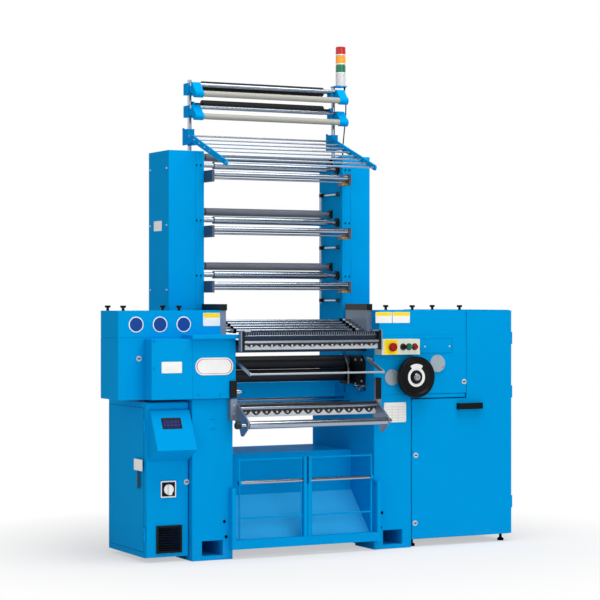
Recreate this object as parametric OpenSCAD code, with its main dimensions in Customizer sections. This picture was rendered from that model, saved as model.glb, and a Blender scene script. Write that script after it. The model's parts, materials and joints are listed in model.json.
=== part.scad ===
// Crochet machine: a warp knitting machine for ribbons and elastic bands, in millimetres.
// Plan frame: x = 0 at the middle of the opening between the two side frames, y = 0 at the front face
// of the side frames, z = 0 at the floor. to_origin() moves the finished solids to the part's own origin.

/* [Side frames] */
// Clear width between the two side frames
opening_w = 748; // [640:1:900]
// Width of one side frame
frame_w = 205; // [190:1:260]
// Depth of the side frames
frame_d = 645; // [620:1:760]
// Height of the side frames, up to the seam below the heads
frame_h = 743; // [730:1:760]
// Width of the fork pocket in each foot
pocket_w = 106; // [80:1:130]
// Height of the fork pocket
pocket_h = 70; // [50:1:90]
// Thickness of the foot below the fork pocket
foot_t = 20; // [12:1:30]

/* [Heads] */
// Height of the two heads above the side frames
head_h = 407; // [395:1:430]
// Height of the lift-off lids on the heads
lid_h = 122; // [112:1:135]
// Sheet thickness of heads, lids and towers
sheet_t = 5; // [3:0.5:7]
// Overhang of the left head past the left side frame
left_overhang = 336; // [300:1:380]
// Setback of the left head behind the front face
left_setback = 70; // [60:1:80]
// Overhang of the right head past the right side frame
right_overhang = 312; // [290:1:340]
// Width of the raised front cover, left of the side frame
cover_overhang = 209; // [180:1:230]
// Front face of the raised cover, ahead of the side frames
cover_proud = 20; // [15:1:26]
// Reach of the cover past the inner face of the side frame
cover_lap = 6; // [4:0.5:8]
// Thickness of the ledge on top of the raised cover
ledge_t = 18; // [12:1:22]
// Reach of the ledge ahead of the raised cover
ledge_out = 30; // [15:1:40]
// Width of the seam grooves
seam_w = 2; // [1:0.5:3]
// Diameter of the lid knobs
knob_d = 27; // [20:1:32]
// Height of the lid knobs
knob_h = 24; // [18:1:30]

/* [Towers] */
// Width of the left tower
left_tower_w = 183; // [165:1:200]
// Width of the right tower
right_tower_w = 155; // [140:1:180]
// Front face of the towers behind the front face of the side frames
tower_y = 325; // [315:1:345]
// Depth of the towers
tower_d = 245; // [225:1:280]
// Height of the towers above the side frames
tower_top = 1167; // [1137:1:1247]

/* [Feed rollers] */
// Height of the lowest press roller above the side frames
feed_z = 529; // [512:1:547]
// Height between two feed roller sets
feed_pitch = 263; // [245:1:275]
// Diameter of the press rollers
press_d = 27; // [20:1:34]
// Diameter of the drive rollers
drive_d = 38; // [30:1:46]
// Diameter of the rubber rollers
rubber_d = 38; // [30:1:44]
// Diameter of the roller journals
journal_d = 14; // [10:1:16]
// Press roller axis ahead of the towers
press_out = 78; // [65:1:90]
// Drive roller axis behind the front of the towers
drive_in = 48; // [40:1:56]
// Drive roller axis above the press roller
drive_up = 48; // [42:1:56]
// Rubber roller axis behind the front of the towers
rubber_in = 122; // [112:1:132]
// Rubber roller axis above the press roller
rubber_up = 91; // [84:1:98]
// Thickness of the bearing plates
bearing_t = 12; // [9:1:16]
// Running clearance of each shaft in its bore, on the radius
run_gap = 0.05; // [0.02:0.01:0.1]
// Gap between a roller's end and its bearing
end_gap = 2; // [1:0.5:4]

/* [Tension unit] */
// Diameter of the two posts
post_d = 20; // [16:1:24]
// Post axis outside the inner face of the tower
post_out = 18; // [14:1:24]
// Post axis behind the front of the towers
post_in = 131; // [120:1:140]
// Height of the posts above the towers
post_h = 352; // [340:1:390]
// Height of the clamp blocks
clamp_h = 56; // [48:1:62]
// Width of the clamp blocks
clamp_w = 44; // [38:1:54]
// Height between the two sets of clamps
tension_pitch = 108; // [100:1:115]
// Height between the two foam rollers
foam_pitch = 91; // [88:1:100]
// Diameter of the foam rollers
foam_d = 45; // [36:1:50]
// Diameter of the tension rods
tension_rod_d = 18; // [12:1:22]
// Diameter of the tension tubes
tension_tube_d = 29; // [24:1:34]
// Diameter of the signal lamp
lamp_d = 50; // [40:1:52]
// Height of one lens of the signal lamp
lens_h = 45; // [34:1:50]
// Height of the signal lamp's base
lamp_base_h = 61; // [50:1:80]

/* [Yarn comb] */
// Number of comb rods
comb_count = 8; // [5:1:10]
// Diameter of the comb rods
comb_rod_d = 9; // [6:1:11]
// Thickness of the comb arms
comb_arm_t = 8; // [6:1:10]
// Reach of the comb arms ahead of the posts
comb_reach = 462; // [400:1:480]
// Drop of the comb arms from the hub to the tip
comb_drop = 184; // [165:1:200]

/* [Knitting zone] */
// Thickness of the brackets that carry the weft bars
bracket_t = 28; // [22:1:32]
// Number of weft bars
weft_count = 5; // [5:1:5]
// Diameter of the weft bars
weft_d = 14; // [10:1:18]
// Front-to-back pitch of the weft bars
weft_pitch_y = 33; // [28:1:36]
// Rise from one weft bar to the next
weft_rise = 11; // [8:1:13]
// Travel of each weft bar to either side
weft_travel = 20; // [10:1:24]
// Front face of the needle bed, ahead of the side frames
bed_out = 85; // [78:1:95]
// Underside of the needle bed below the lids
bed_z = 62; // [53:1:73]
// Number of scallops on the eyelet plates
scallop_count = 13; // [9:1:17]
// Diameter of the eyelets
eyelet_d = 6; // [4:0.5:8]
// Diameter of the upper take-down roller
takedown_d = 65; // [56:1:68]
// Gap between the take-down rollers above the side frames
takedown_z = 122; // [112:1:132]
// Diameter of the stop bar
stop_d = 10; // [8:1:13]
// Reach of the stop bar ahead of its pivot
stop_reach = 153; // [130:1:170]
// Drop of the stop bar below its pivot
stop_drop = 57; // [45:1:70]

/* [Lower rack] */
// Diameter of the rack roller
rack_roller_d = 36; // [28:1:42]
// Rack roller axis ahead of the side frames
rack_out = 137; // [125:1:150]
// Rack roller axis below the top of the side frames
rack_z = 117; // [103:1:131]
// Diameter of the rack rod
rack_rod_d = 14; // [10:1:18]
// Thickness of the rack arms
rack_arm_t = 8; // [6:1:10]
// Width of the rack rails
rail_w = 32; // [24:1:36]
// Thickness of the rack rails
rail_t = 14; // [10:1:18]

/* [Cloth tray and gate] */
// Top of the tray box above the floor
tray_top = 467; // [440:1:490]
// Underside of the tray box above the floor
tray_low = 268; // [240:1:290]
// Front face of the tray box behind the front of the side frames
tray_y = 232; // [215:1:250]
// Thickness of the tray's sheet
tray_t = 4; // [3:0.5:6]
// Front edge of the sloped cloth chute
chute_y = 45; // [35:1:60]
// Height of the chute's front edge
chute_z = 78; // [70:1:90]
// Height of the gate's end posts
gate_post_h = 285; // [250:1:310]
// Height of the gate's wire frame above the floor
gate_top = 465; // [440:1:490]
// Diameter of the gate's wires
wire_d = 8; // [6:1:10]
// Diameter of the gate's tube
gate_tube_d = 18; // [14:1:22]

/* [Control cabinet] */
// Width of the control cabinet
control_w = 212; // [200:1:240]
// Depth of the control cabinet
control_d = 446; // [400:1:480]
// Front of the control cabinet behind the front of the side frames
control_y = 54; // [50:1:60]
// Underside of the control cabinet above the floor
control_low = 21; // [15:1:30]
// Gap between the control cabinet and the head above it
control_gap = 11; // [8:1:15]
// Thickness of the cabinet doors
door_t = 18; // [14:1:20]
// Gap around the cabinet doors
door_gap = 2.5; // [1.5:0.5:4]
// Sheet thickness of the cabinets
cabinet_t = 4; // [3:0.5:6]
// Reach of the console's lip ahead of the door
console_out = 106; // [90:1:120]
// Width of the touch screen
screen_w = 96; // [80:1:110]
// Height of the touch screen
screen_h = 54; // [45:1:62]
// Side of the vent grille
vent_w = 126; // [110:1:140]
// Number of louvres in the vent grille
louvre_count = 9; // [6:1:11]

/* [Right cabinet] */
// Width of the right cabinet
cabinet_w = 576; // [500:1:620]
// Underside of the right cabinet above the floor
cabinet_low = 36; // [28:1:45]
// Gap between the right cabinet and the head above it
notch_gap = 26; // [22:1:32]
// Diameter of the levelling feet
foot_d = 32; // [26:1:40]
// Length of the door handle
handle_w = 137; // [110:1:160]
// Door handle below the top of the side frames
handle_z = 65; // [53:1:183]

/* [Drive and controls] */
// Diameter of the handwheel
wheel_d = 200; // [180:1:204]
// Height of the handwheel's axis above the seam
wheel_up = 84; // [81:1:90]
// Diameter of the main shaft
shaft_d = 24; // [18:1:28]
// Diameter of the drive motor
motor_d = 118; // [100:1:130]
// Width of the control box
box_w = 209; // [200:1:230]
// Height of the control box
box_h = 74; // [64:1:84]
// Depth of the control box
box_d = 66; // [50:1:76]
// Underside of the control box above the side frames
box_z = 194; // [189:1:199]
// Diameter of the emergency stop's head
estop_d = 42; // [36:1:48]
// Diameter of the push buttons
button_d = 22; // [18:1:24]
// Travel of the push buttons
button_travel = 4; // [3:0.5:5]

/* [Hidden] */
$fn = 48;
// Depth of a cut past the face it starts from
past = 1;
// Gap between two seated pieces
seat_gap = 0.3;
// Inner and outer faces of the side frames
inner_x = opening_w / 2;
outer_x = inner_x + frame_w;
// Levels of the heads
head_top = frame_h + head_h;
lid_z = head_top - lid_h;
// Levels of the pieces that hang on the side frames and heads
bed_level = lid_z - bed_z;
takedown_level = frame_h + takedown_z;
rack_level = frame_h - rack_z;
box_level = frame_h + box_z;
handle_level = frame_h - handle_z;
// Faces of the heads
left_end_x = -outer_x - left_overhang;
right_end_x = outer_x + right_overhang;
head_back_y = tower_y - 35;
// Faces of the right cabinet and its hinge axis
cabinet_x = outer_x;
cabinet_right_x = cabinet_x + cabinet_w;
hinge_r = 4.5;
hinge_pin_r = 2.5;
hinge_out = 5.5;
hinge_x = cabinet_right_x + hinge_out;
control_left_x = -outer_x - control_w;
control_hinge_x = control_left_x - hinge_out;
control_top = frame_h - control_gap;
tower_level = frame_h + tower_top;
// The part's box, whose bottom centre is its origin
box_left_x = left_end_x;
box_right_x = hinge_x + hinge_r;
rack_knob_r = 17;
box_front_y = -rack_out - rack_roller_d / 2;
box_back_y = frame_d;
box_mid_x = (box_left_x + box_right_x) / 2;
box_mid_y = (box_front_y + box_back_y) / 2;

blue = [0.07, 0.53, 0.83];
chrome = [0.82, 0.83, 0.85];
steel = [0.62, 0.64, 0.67];
black = [0.06, 0.06, 0.07];
cream = [0.93, 0.91, 0.84];

// Moves the plan frame to the part's origin, at the middle of its footprint
module to_origin() {
    translate([-box_mid_x, -box_mid_y, 0])
        children();
}

// A box from one corner to the opposite one
module block(low, high) {
    translate(low)
        cube(high - low);
}

// A round bar along x between two ends
module bar_x(d, x0, x1, y, z) {
    translate([x0, y, z])
        rotate([0, 90, 0])
            cylinder(d = d, h = x1 - x0);
}

// A round bar along y between two ends
module bar_y(d, y0, y1, x, z) {
    translate([x, y0, z])
        rotate([-90, 0, 0])
            cylinder(d = d, h = y1 - y0);
}

// A round bar along z between two ends
module bar_z(d, z0, z1, x, y) {
    translate([x, y, z0])
        cylinder(d = d, h = z1 - z0);
}

// A plate in the y-z plane, extruded along x from x0 to x1
module side_plate(points, x0, x1) {
    translate([x0, 0, 0])
        rotate([90, 0, 90])
            linear_extrude(x1 - x0)
                polygon(points);
}

// One side frame with its fork pocket; x0 is its left face
module side_frame(x0) {
    pocket_x = x0 + (frame_w - pocket_w) / 2;
    pocket_top = foot_t + pocket_h;
    color(blue)
        difference() {
            block([x0, 0, 0], [x0 + frame_w, frame_d, frame_h]);
            block([pocket_x, -past, foot_t], [pocket_x + pocket_w, frame_d + past, pocket_top]);
            // Arch that leaves two feet under the frame
            block([x0 - past, frame_d * 0.3, -past], [x0 + frame_w + past, frame_d * 0.7, foot_t / 2]);
        }
}

// The left frame has two small vent slots in its front
slot_w = 26;
slot_h = 6;
slot_x = -outer_x + frame_w / 2;
module left_frame() {
    difference() {
        side_frame(-outer_x);
        for (z = [frame_h - 97, frame_h - 143])
            block([slot_x - slot_w / 2, -past, z], [slot_x + slot_w / 2, slot_h / 2, z + slot_h]);
    }
}

module right_frame() {
    side_frame(inner_x);
}

// Beam across the back, bolted between the two towers
beam_y = tower_y + 75;
beam_d = 80;
beam_drop = 45;
beam_h = 97;
beam_low = frame_h - beam_drop;
beam_top = beam_low + beam_h;
module rear_crossbeam() {
    color(blue)
        difference() {
            block([-inner_x, beam_y, beam_low], [inner_x, beam_y + beam_d, beam_top]);
            block([-inner_x - past, beam_y + sheet_t, beam_low + sheet_t],
                [inner_x + past, beam_y + beam_d + past, beam_top - sheet_t]);
        }
}

// Box under the take-down with a sloped chute that brings the cloth to the front
module cloth_tray() {
    slope = [
        [tray_y, tray_low], [chute_y, chute_z], [chute_y - 22, chute_z],
        [chute_y - 22, chute_z + tray_t], [chute_y - 2, chute_z + tray_t], [tray_y, tray_low + tray_t * 1.4]
    ];
    color(blue) {
        difference() {
            block([-inner_x, tray_y, tray_low], [inner_x, frame_d, tray_top]);
            block([-inner_x + tray_t, tray_y + tray_t, tray_low - past],
                [inner_x - tray_t, frame_d - tray_t, tray_top - tray_t]);
        }
        side_plate(slope, -inner_x, inner_x);
    }
}

// Guard in front of the tray: sill, end posts, middle post and a wire frame
gate_back = 0;
gate_front = -34;
gate_wire_y = -17;
gate_sill_low = 46;
gate_sill_h = 42;
gate_lap = 18;
gate_mid_w = 38;
gate_wire_x = inner_x - 26;
gate_inner_x = gate_mid_w / 2 + 7;
gate_tube_z = 352;
module tray_gate() {
    sill_top = gate_sill_low + gate_sill_h;
    color(blue)
        difference() {
            union() {
                block([-inner_x - gate_lap, gate_front, gate_sill_low],
                    [inner_x + gate_lap, gate_back, sill_top]);
                for (side = [-1, 1])
                    block([side * inner_x - (side < 0 ? gate_lap : 0), gate_front, gate_sill_low],
                        [side * inner_x + (side > 0 ? gate_lap : 0), gate_back, gate_sill_low + gate_post_h]);
                block([-gate_mid_w / 2, gate_wire_y - 15, gate_sill_low],
                    [gate_mid_w / 2, gate_wire_y + 15, gate_top]);
                for (x = [-gate_wire_x, -gate_inner_x, gate_inner_x, gate_wire_x])
                    bar_z(wire_d, gate_sill_low, gate_top, x, gate_wire_y);
                bar_x(wire_d, -gate_wire_x, gate_wire_x, gate_wire_y, gate_top - wire_d);
                bar_x(wire_d, -gate_wire_x, gate_wire_x, gate_wire_y, gate_tube_z - 165);
                for (side = [-1, 1])
                    bar_x(gate_tube_d + 8, side * gate_wire_x - 6, side * gate_wire_x + 6,
                        gate_wire_y, gate_tube_z);
            }
            // Open channel behind the sill
            block([-inner_x, gate_front + tray_t, gate_sill_low + tray_t],
                [inner_x, gate_back + past, sill_top - tray_t]);
            bar_x(gate_tube_d + 2 * run_gap, -inner_x, inner_x, gate_wire_y, gate_tube_z);
        }
}

// A sheet box, open on the sides where its cavity is drawn past the wall
module shell(low, high, cavity_low, cavity_high) {
    difference() {
        block(low, high);
        block(cavity_low, cavity_high);
    }
}

// Take-down roller axes, held in the inner walls of the heads
nip_gap = 0.6;
takedown_small_d = takedown_d - 5;
takedown_y = head_back_y - 42;
takedown_upper_z = takedown_level + nip_gap / 2 + takedown_d / 2;
takedown_lower_z = takedown_level - nip_gap / 2 - takedown_small_d / 2;
takedown_journal_d = 22;
boss_t = 22;
boss_d = 46;
// Pivot of the stop bar
stop_pivot_y = 18;
stop_pivot_z = bed_level - 51;
stop_pin_d = 12;
// Axis of the handwheel and the main shaft
wheel_x = outer_x - 1;
wheel_z = frame_h + wheel_up;

// Bosses for the two take-down journals, on the inner side of a head's wall from x0 to x1
module takedown_bosses(x0, x1) {
    for (z = [takedown_upper_z, takedown_lower_z])
        bar_x(boss_d, x0, x1, takedown_y, z);
}

// Bores for the two take-down journals
module takedown_bores(x0, x1) {
    for (z = [takedown_upper_z, takedown_lower_z])
        bar_x(takedown_journal_d + 2 * run_gap, x0, x1, takedown_y, z);
}

module left_head() {
    color(blue)
        difference() {
            union() {
                shell([left_end_x, left_setback, frame_h], [-inner_x, head_back_y, lid_z],
                    [left_end_x + sheet_t, left_setback + sheet_t, frame_h + sheet_t],
                    [-inner_x - sheet_t, head_back_y - sheet_t, lid_z + past]);
                takedown_bosses(-inner_x - boss_t, -inner_x);
            }
            takedown_bores(-inner_x - boss_t - past, -inner_x + past);
        }
}

// Raised cover ahead of the left head, with the ledge beside the needle bed
cover_left_x = -outer_x - cover_overhang;
cover_right_x = -inner_x + cover_lap;
cover_top = lid_z - 7;
ledge_left_x = -outer_x - 20;
ledge_right_x = -inner_x + 19;
module left_front_cover() {
    color(blue)
        difference() {
            union() {
                shell([cover_left_x, -cover_proud, frame_h + 2], [cover_right_x, left_setback, cover_top],
                    [cover_left_x + sheet_t, -cover_proud + sheet_t, frame_h + 2 + sheet_t],
                    [cover_right_x - sheet_t, left_setback + past, cover_top - sheet_t]);
                block([ledge_left_x, -cover_proud - ledge_out, cover_top],
                    [ledge_right_x, left_setback, cover_top + ledge_t]);
                bar_x(stop_pin_d * 2, cover_right_x - boss_t, cover_right_x, stop_pivot_y, stop_pivot_z);
            }
            // Seam between the two cover sheets
            block([-outer_x - 9, -cover_proud - past, frame_h],
                [-outer_x - 9 + seam_w, -cover_proud + seam_w, cover_top]);
            bar_x(stop_pin_d + 2 * run_gap, cover_right_x - boss_t - past, cover_right_x + past,
                stop_pivot_y, stop_pivot_z);
        }
}

// Right head with the bearing of the main shaft and two round cover discs
disc_t = 6;
disc_1 = [inner_x + 96, frame_h + 83];
disc_2 = [outer_x + 146, frame_h + 146];
// Raised access panel beside the control box
panel_low = [outer_x + 33, box_z + frame_h + 4];
panel_high = [outer_x + 221, box_z + frame_h + 72];
panel_t = 2;
module right_head() {
    color(blue)
        difference() {
            union() {
                shell([inner_x, 0, frame_h], [right_end_x, head_back_y, lid_z],
                    [inner_x + sheet_t, sheet_t, frame_h + sheet_t],
                    [right_end_x - sheet_t, head_back_y - sheet_t, lid_z + past]);
                takedown_bosses(inner_x, inner_x + boss_t);
                bar_x(stop_pin_d * 2, inner_x, inner_x + boss_t, stop_pivot_y + sheet_t, stop_pivot_z);
                bar_y(shaft_d * 2.4, 0, boss_t * 2, wheel_x, wheel_z);
                bar_y(78, -disc_t, sheet_t, disc_1[0], disc_1[1]);
                bar_y(84, -disc_t, sheet_t, disc_2[0], disc_2[1]);
                block([panel_low[0], -panel_t, panel_low[1]], [panel_high[0], sheet_t, panel_high[1]]);
            }
            takedown_bores(inner_x - past, inner_x + boss_t + past);
            bar_x(stop_pin_d + 2 * run_gap, inner_x - past, inner_x + boss_t + past,
                stop_pivot_y, stop_pivot_z);
            bar_y(shaft_d + 2 * run_gap, -past, boss_t * 2 + past, wheel_x, wheel_z);
        }
}

// Weft bar axes, stacked on a slant in the brackets
weft_y0 = left_setback + 35;
weft_z0 = lid_z + 26;
function weft_y(i) = weft_y0 + weft_pitch_y * (i - 1);
function weft_z(i) = weft_z0 + weft_rise * (i - 1);
lid_x = inner_x + bracket_t;

// A lid over x0 to x1 and back from y0, with a window for the weft bars in its inner wall
module lid(x0, x1, y0) {
    difference() {
        shell([x0, y0, lid_z], [x1, head_back_y, head_top],
            [x0 + sheet_t, y0 + sheet_t, lid_z - past],
                [x1 - sheet_t, head_back_y - sheet_t, head_top - sheet_t]);
        for (x = [-lid_x, lid_x])
            block([x - sheet_t - past, weft_y(1) - weft_d, weft_z(1) - weft_d],
                [x + sheet_t + past, weft_y(weft_count) + weft_d, weft_z(weft_count) + weft_d]);
    }
}

module head_lids() {
    color(blue) {
        lid(left_end_x, -lid_x, left_setback);
        lid(lid_x, right_end_x, 0);
    }
}

// One thumb knob on a lid
module thumb_knob(x, y) {
    translate([x, y, head_top])
        rotate_extrude()
            polygon([[0, 0], [knob_d * 0.28, 0], [knob_d * 0.22, knob_h * 0.5],
                [knob_d * 0.5, knob_h * 0.62],
                [knob_d * 0.5, knob_h * 0.92], [knob_d * 0.42, knob_h], [0, knob_h]]);
}

knob_in = 14;
knob_end_in = 30;
module cover_knobs() {
    color(black) {
        for (x = [left_end_x + knob_end_in, -outer_x - knob_end_in])
            for (y = [left_setback + knob_in, head_back_y - knob_in])
                thumb_knob(x, y);
        for (x = [outer_x + knob_in, right_end_x - knob_end_in])
            for (y = [knob_in, head_back_y - knob_in])
                thumb_knob(x, y);
    }
}

// Fixed half of a door hinge at height z; side is +1 where the door's edge faces +x
hinge_h = 60;
hinge_leaf_l = 60;
module hinge_fixed(x, y, z, side) {
    wall_x = x - side * hinge_out;
    for (end = [-1, 1])
        bar_z(hinge_r * 2, z + end * hinge_h / 3 - hinge_h / 6, z + end * hinge_h / 3 + hinge_h / 6, x, y);
    bar_z(hinge_pin_r * 2, z - hinge_h / 3, z + hinge_h / 3, x, y);
    for (end = [-1, 1])
        block([min(wall_x, wall_x + side * 3), y, z + end * hinge_h / 3 - hinge_h / 6],
            [max(wall_x, wall_x + side * 3), y + hinge_leaf_l, z + end * hinge_h / 3 + hinge_h / 6]);
}

// Moving half of a door hinge, welded to the door's edge at door_x
module hinge_leaf(x, y, z, door_x) {
    half = hinge_h / 6 - 0.3;
    difference() {
        union() {
            bar_z(hinge_r * 2, z - half, z + half, x, y);
            block([min(door_x, x), y - 3, z - half], [max(door_x, x), y + 3, z + half]);
        }
        bar_z((hinge_pin_r + run_gap) * 2, z - half - past, z + half + past, x, y);
    }
}

// A case of switchgear on a mounting plate, from its left edge and its top; size is width, depth and height
module gear_case(x, plate_y, top, size) {
    block([x, plate_y - size[1], top - size[2]], [x + size[0], plate_y, top]);
}

// Control cabinet at the left, open at the front, with a mounting plate and its switchgear
control_back = control_y + control_d;
control_hinge_y = control_y - 2 - door_t / 2;
control_hinge_z = [control_low + 110, control_top - 110];
module control_cabinet() {
    plate_y = control_back - cabinet_t - 6;
    color(blue) {
        shell([control_left_x, control_y, control_low], [-outer_x, control_back, control_top],
            [control_left_x + cabinet_t, control_y - past, control_low + cabinet_t],
            [-outer_x - cabinet_t, control_back - cabinet_t, control_top - cabinet_t]);
        for (z = control_hinge_z)
            hinge_fixed(control_hinge_x, control_hinge_y, z, -1);
    }
    color(steel) {
        block([control_left_x + 16, plate_y, control_low + 60],
            [-outer_x - 16, plate_y + 6, control_top - 60]);
        block([control_left_x + 40, plate_y - 120, control_low + 380],
            [-outer_x - 40, plate_y, control_top - 100]);
        for (i = [0 : 2])
            block([control_left_x + 34 + i * 50, plate_y - 70, control_low + 220],
                [control_left_x + 78 + i * 50, plate_y, control_low + 300]);
    }
}

// Right cabinet, L-shaped round the right head, on four levelling feet
cabinet_y = door_t + 2;
cabinet_back = frame_d - 25;
notch_z = frame_h - notch_gap;
notch_x = right_end_x + 2;
cabinet_hinge_y = door_t / 2;
cabinet_hinge_low = 160;
cabinet_hinge_drop = 140;
cabinet_hinge_z = [cabinet_low + cabinet_hinge_low, frame_h, head_top - cabinet_hinge_drop];
module right_cabinet() {
    plate_y = cabinet_back - cabinet_t - 6;
    color(blue) {
        difference() {
            union() {
                block([cabinet_x, cabinet_y, cabinet_low], [cabinet_right_x, cabinet_back, notch_z]);
                block([notch_x, cabinet_y, cabinet_low], [cabinet_right_x, cabinet_back, head_top]);
            }
            block([cabinet_x + cabinet_t, cabinet_y - past, cabinet_low + cabinet_t],
                [cabinet_right_x - cabinet_t, cabinet_back - cabinet_t, notch_z - cabinet_t]);
            block([notch_x + cabinet_t, cabinet_y - past, cabinet_low + cabinet_t],
                [cabinet_right_x - cabinet_t, cabinet_back - cabinet_t, head_top - cabinet_t]);
        }
        for (z = cabinet_hinge_z)
            hinge_fixed(hinge_x, cabinet_hinge_y, z, 1);
    }
    color(black)
        for (x = [cabinet_x + foot_d, cabinet_right_x - foot_d])
            for (y = [cabinet_y + foot_d, cabinet_back - foot_d])
                translate([x, y, 0])
                    rotate_extrude()
                        polygon([[0, 0], [foot_d / 2, 0], [foot_d / 2, cabinet_low * 0.3],
                            [foot_d * 0.22, cabinet_low * 0.45],
                            [foot_d * 0.22, cabinet_low], [0, cabinet_low]]);
    color(steel) {
        block([cabinet_x + 40, plate_y, cabinet_low + 60],
            [cabinet_right_x - 40, plate_y + 6, notch_z - 60]);
        gear_case(cabinet_x + 80, plate_y, notch_z - 121, [170, 150, 260]);
        gear_case(cabinet_x + 300, plate_y, notch_z - 141, [180, 110, 210]);
    }
}

// Control box on the right head, with the gland of its lead
box_x = inner_x + 6;
box_top = box_level + box_h;
button_z = box_level + box_h / 2;
estop_x = box_x + 50;
jog_x = box_x + 116;
button_pitch = 32;
stem_d = 14;
module control_box() {
    color(cream)
        difference() {
            block([box_x, -box_d, box_level], [box_x + box_w, 0, box_top]);
            block([box_x + sheet_t, -box_d + sheet_t, box_level + sheet_t],
                [box_x + box_w - sheet_t, past, box_top - sheet_t]);
            for (x = [estop_x, jog_x, jog_x + button_pitch, jog_x + 2 * button_pitch])
                bar_y(stem_d + 2 * run_gap, -box_d - past, -box_d + sheet_t + past, x, button_z);
        }
    color("white") {
        bar_x(20, box_x + box_w, box_x + box_w + 9, -box_d / 2, button_z - 12);
        bar_x(14, box_x + box_w + 9, box_x + box_w + 20, -box_d / 2, button_z - 12);
    }
}

// A tower of folded sheet, open at its foot, with a seam down its front
module tower(x0, x1, seam_x) {
    back_y = tower_y + tower_d;
    color(blue)
        difference() {
            shell([x0, tower_y, frame_h], [x1, back_y, tower_level],
                [x0 + sheet_t, tower_y + sheet_t, frame_h - past],
                [x1 - sheet_t, back_y - sheet_t, tower_level - sheet_t]);
            block([seam_x, tower_y - past, frame_h + 2],
                [seam_x + seam_w, tower_y + seam_w, tower_level + past]);
        }
}

module left_tower() {
    tower(-inner_x - left_tower_w, -inner_x, -inner_x - 46);
}

module right_tower() {
    tower(inner_x, inner_x + right_tower_w, inner_x + 46);
}

// Axes of the three feed sets, counted from the top
press_y = tower_y - press_out;
drive_y = tower_y + drive_in;
rubber_y = tower_y + rubber_in;
function press_z(i) = frame_h + feed_z + feed_pitch * (3 - i);
bearing_x = inner_x - bearing_t;
roller_x = bearing_x - end_gap;
journal_x = inner_x - 2;
drive_face_x = inner_x - 70;
rubber_face_x = inner_x - 58;
guard_d = 10;
guard_drop = 21;

// Bearing plates of one feed set on one tower, drawn for the right side
module feed_bearing(z) {
    color(steel)
        difference() {
            block([bearing_x, press_y - 17, z - 38], [inner_x, tower_y + 30, z + 18]);
            bar_x(journal_d + 2 * run_gap, bearing_x - past, inner_x + past, press_y, z);
        }
    color(black)
        difference() {
            union() {
                bar_x(journal_d + 32, bearing_x, inner_x, drive_y, z + drive_up);
                block([bearing_x, rubber_y - 20, z + rubber_up - 20],
                    [inner_x, rubber_y + 20, z + rubber_up + 20]);
            }
            bar_x(journal_d + 2 * run_gap, bearing_x - past, inner_x + past, drive_y, z + drive_up);
            bar_x(journal_d + 2 * run_gap, bearing_x - past, inner_x + past, rubber_y, z + rubber_up);
        }
}

// Guide bars on the inner face of the right tower, below each feed set, in drilled blocks
guide_d = 10;
guide_rod_d = 8;
guide_x = inner_x - 8;
guide_rod_x = inner_x - 18;
guide_front_y = tower_y + 34;
guide_back_y = tower_y + 194;
guide_block_h = 18;
function guide_z(i) = press_z(i) - 75;
module guide_blocks(i) {
    difference() {
        union() {
            block([inner_x - 16, guide_front_y - 8, guide_z(i) - guide_block_h / 2],
                [inner_x, guide_front_y + 8, guide_z(i) + guide_block_h / 2]);
            block([inner_x - 25, guide_back_y - 8, guide_z(i) - guide_block_h / 2],
                [inner_x, guide_back_y + 8, guide_z(i) + guide_block_h / 2]);
        }
        bar_y(guide_d + 2 * run_gap, guide_front_y - 20, guide_back_y + 20, guide_x, guide_z(i));
        bar_z(guide_rod_d + 2 * run_gap, guide_z(i) - 20, guide_z(i) + 20, guide_rod_x, guide_back_y);
    }
}

module feed_bearings() {
    color(black)
        takedown_bearing();
    for (i = [1 : 3]) {
        color(steel)
            guide_blocks(i);
        feed_bearing(press_z(i));
        mirror([1, 0, 0])
            feed_bearing(press_z(i));
        // Brass slide block under the right end of the guard bar
        color("goldenrod")
            block([bearing_x - 24, press_y - 8, press_z(i) - 37],
                [bearing_x, press_y + 12, press_z(i) - guard_drop - 6]);
    }
}

// A roller with a face, a neck and journals, turning about x
module roller(face_d, face_x, neck_d, neck_x, end_d, end_x, y, z) {
    bar_x(face_d, -face_x, face_x, y, z);
    bar_x(neck_d, -neck_x, neck_x, y, z);
    bar_x(end_d, -end_x, end_x, y, z);
}

module press_roller(i) {
    color(chrome)
        roller(press_d, roller_x, press_d * 0.8, roller_x, journal_d, journal_x, press_y, press_z(i));
}

module drive_roller(i) {
    color(chrome)
        roller(drive_d, drive_face_x, drive_d * 0.62, roller_x, journal_d, journal_x,
            drive_y, press_z(i) + drive_up);
}

module rubber_roller(i) {
    color(black)
        roller(rubber_d, rubber_face_x, journal_d + 6, roller_x, journal_d, journal_x,
            rubber_y, press_z(i) + rubber_up);
}

// Tension unit on the two posts; set 1 is the upper one
post_x = inner_x + post_out;
post_y = tower_y + post_in;
post_top = tower_level + post_h;
clamp_in_x = post_x - clamp_w / 2;
clamp_out_x = post_x + clamp_w / 2;
function clamp_top(i) = post_top - 18 - tension_pitch * (i - 1);
foam_y = post_y - 2;
foam_down = 8;
foam_face_x = inner_x - 45;
foam_journal_d = 12;
function foam_z(i) = clamp_top(1) - foam_down - foam_pitch * (i - 1);
ear_t = 10;
ear_r = 13;
rod_y = post_y - 62;
rod_down = 10;
tube_y = post_y - 105;
tube_down = 57;
lobe_d = tension_tube_d + 10;
web_w = clamp_w * 0.6;

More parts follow.
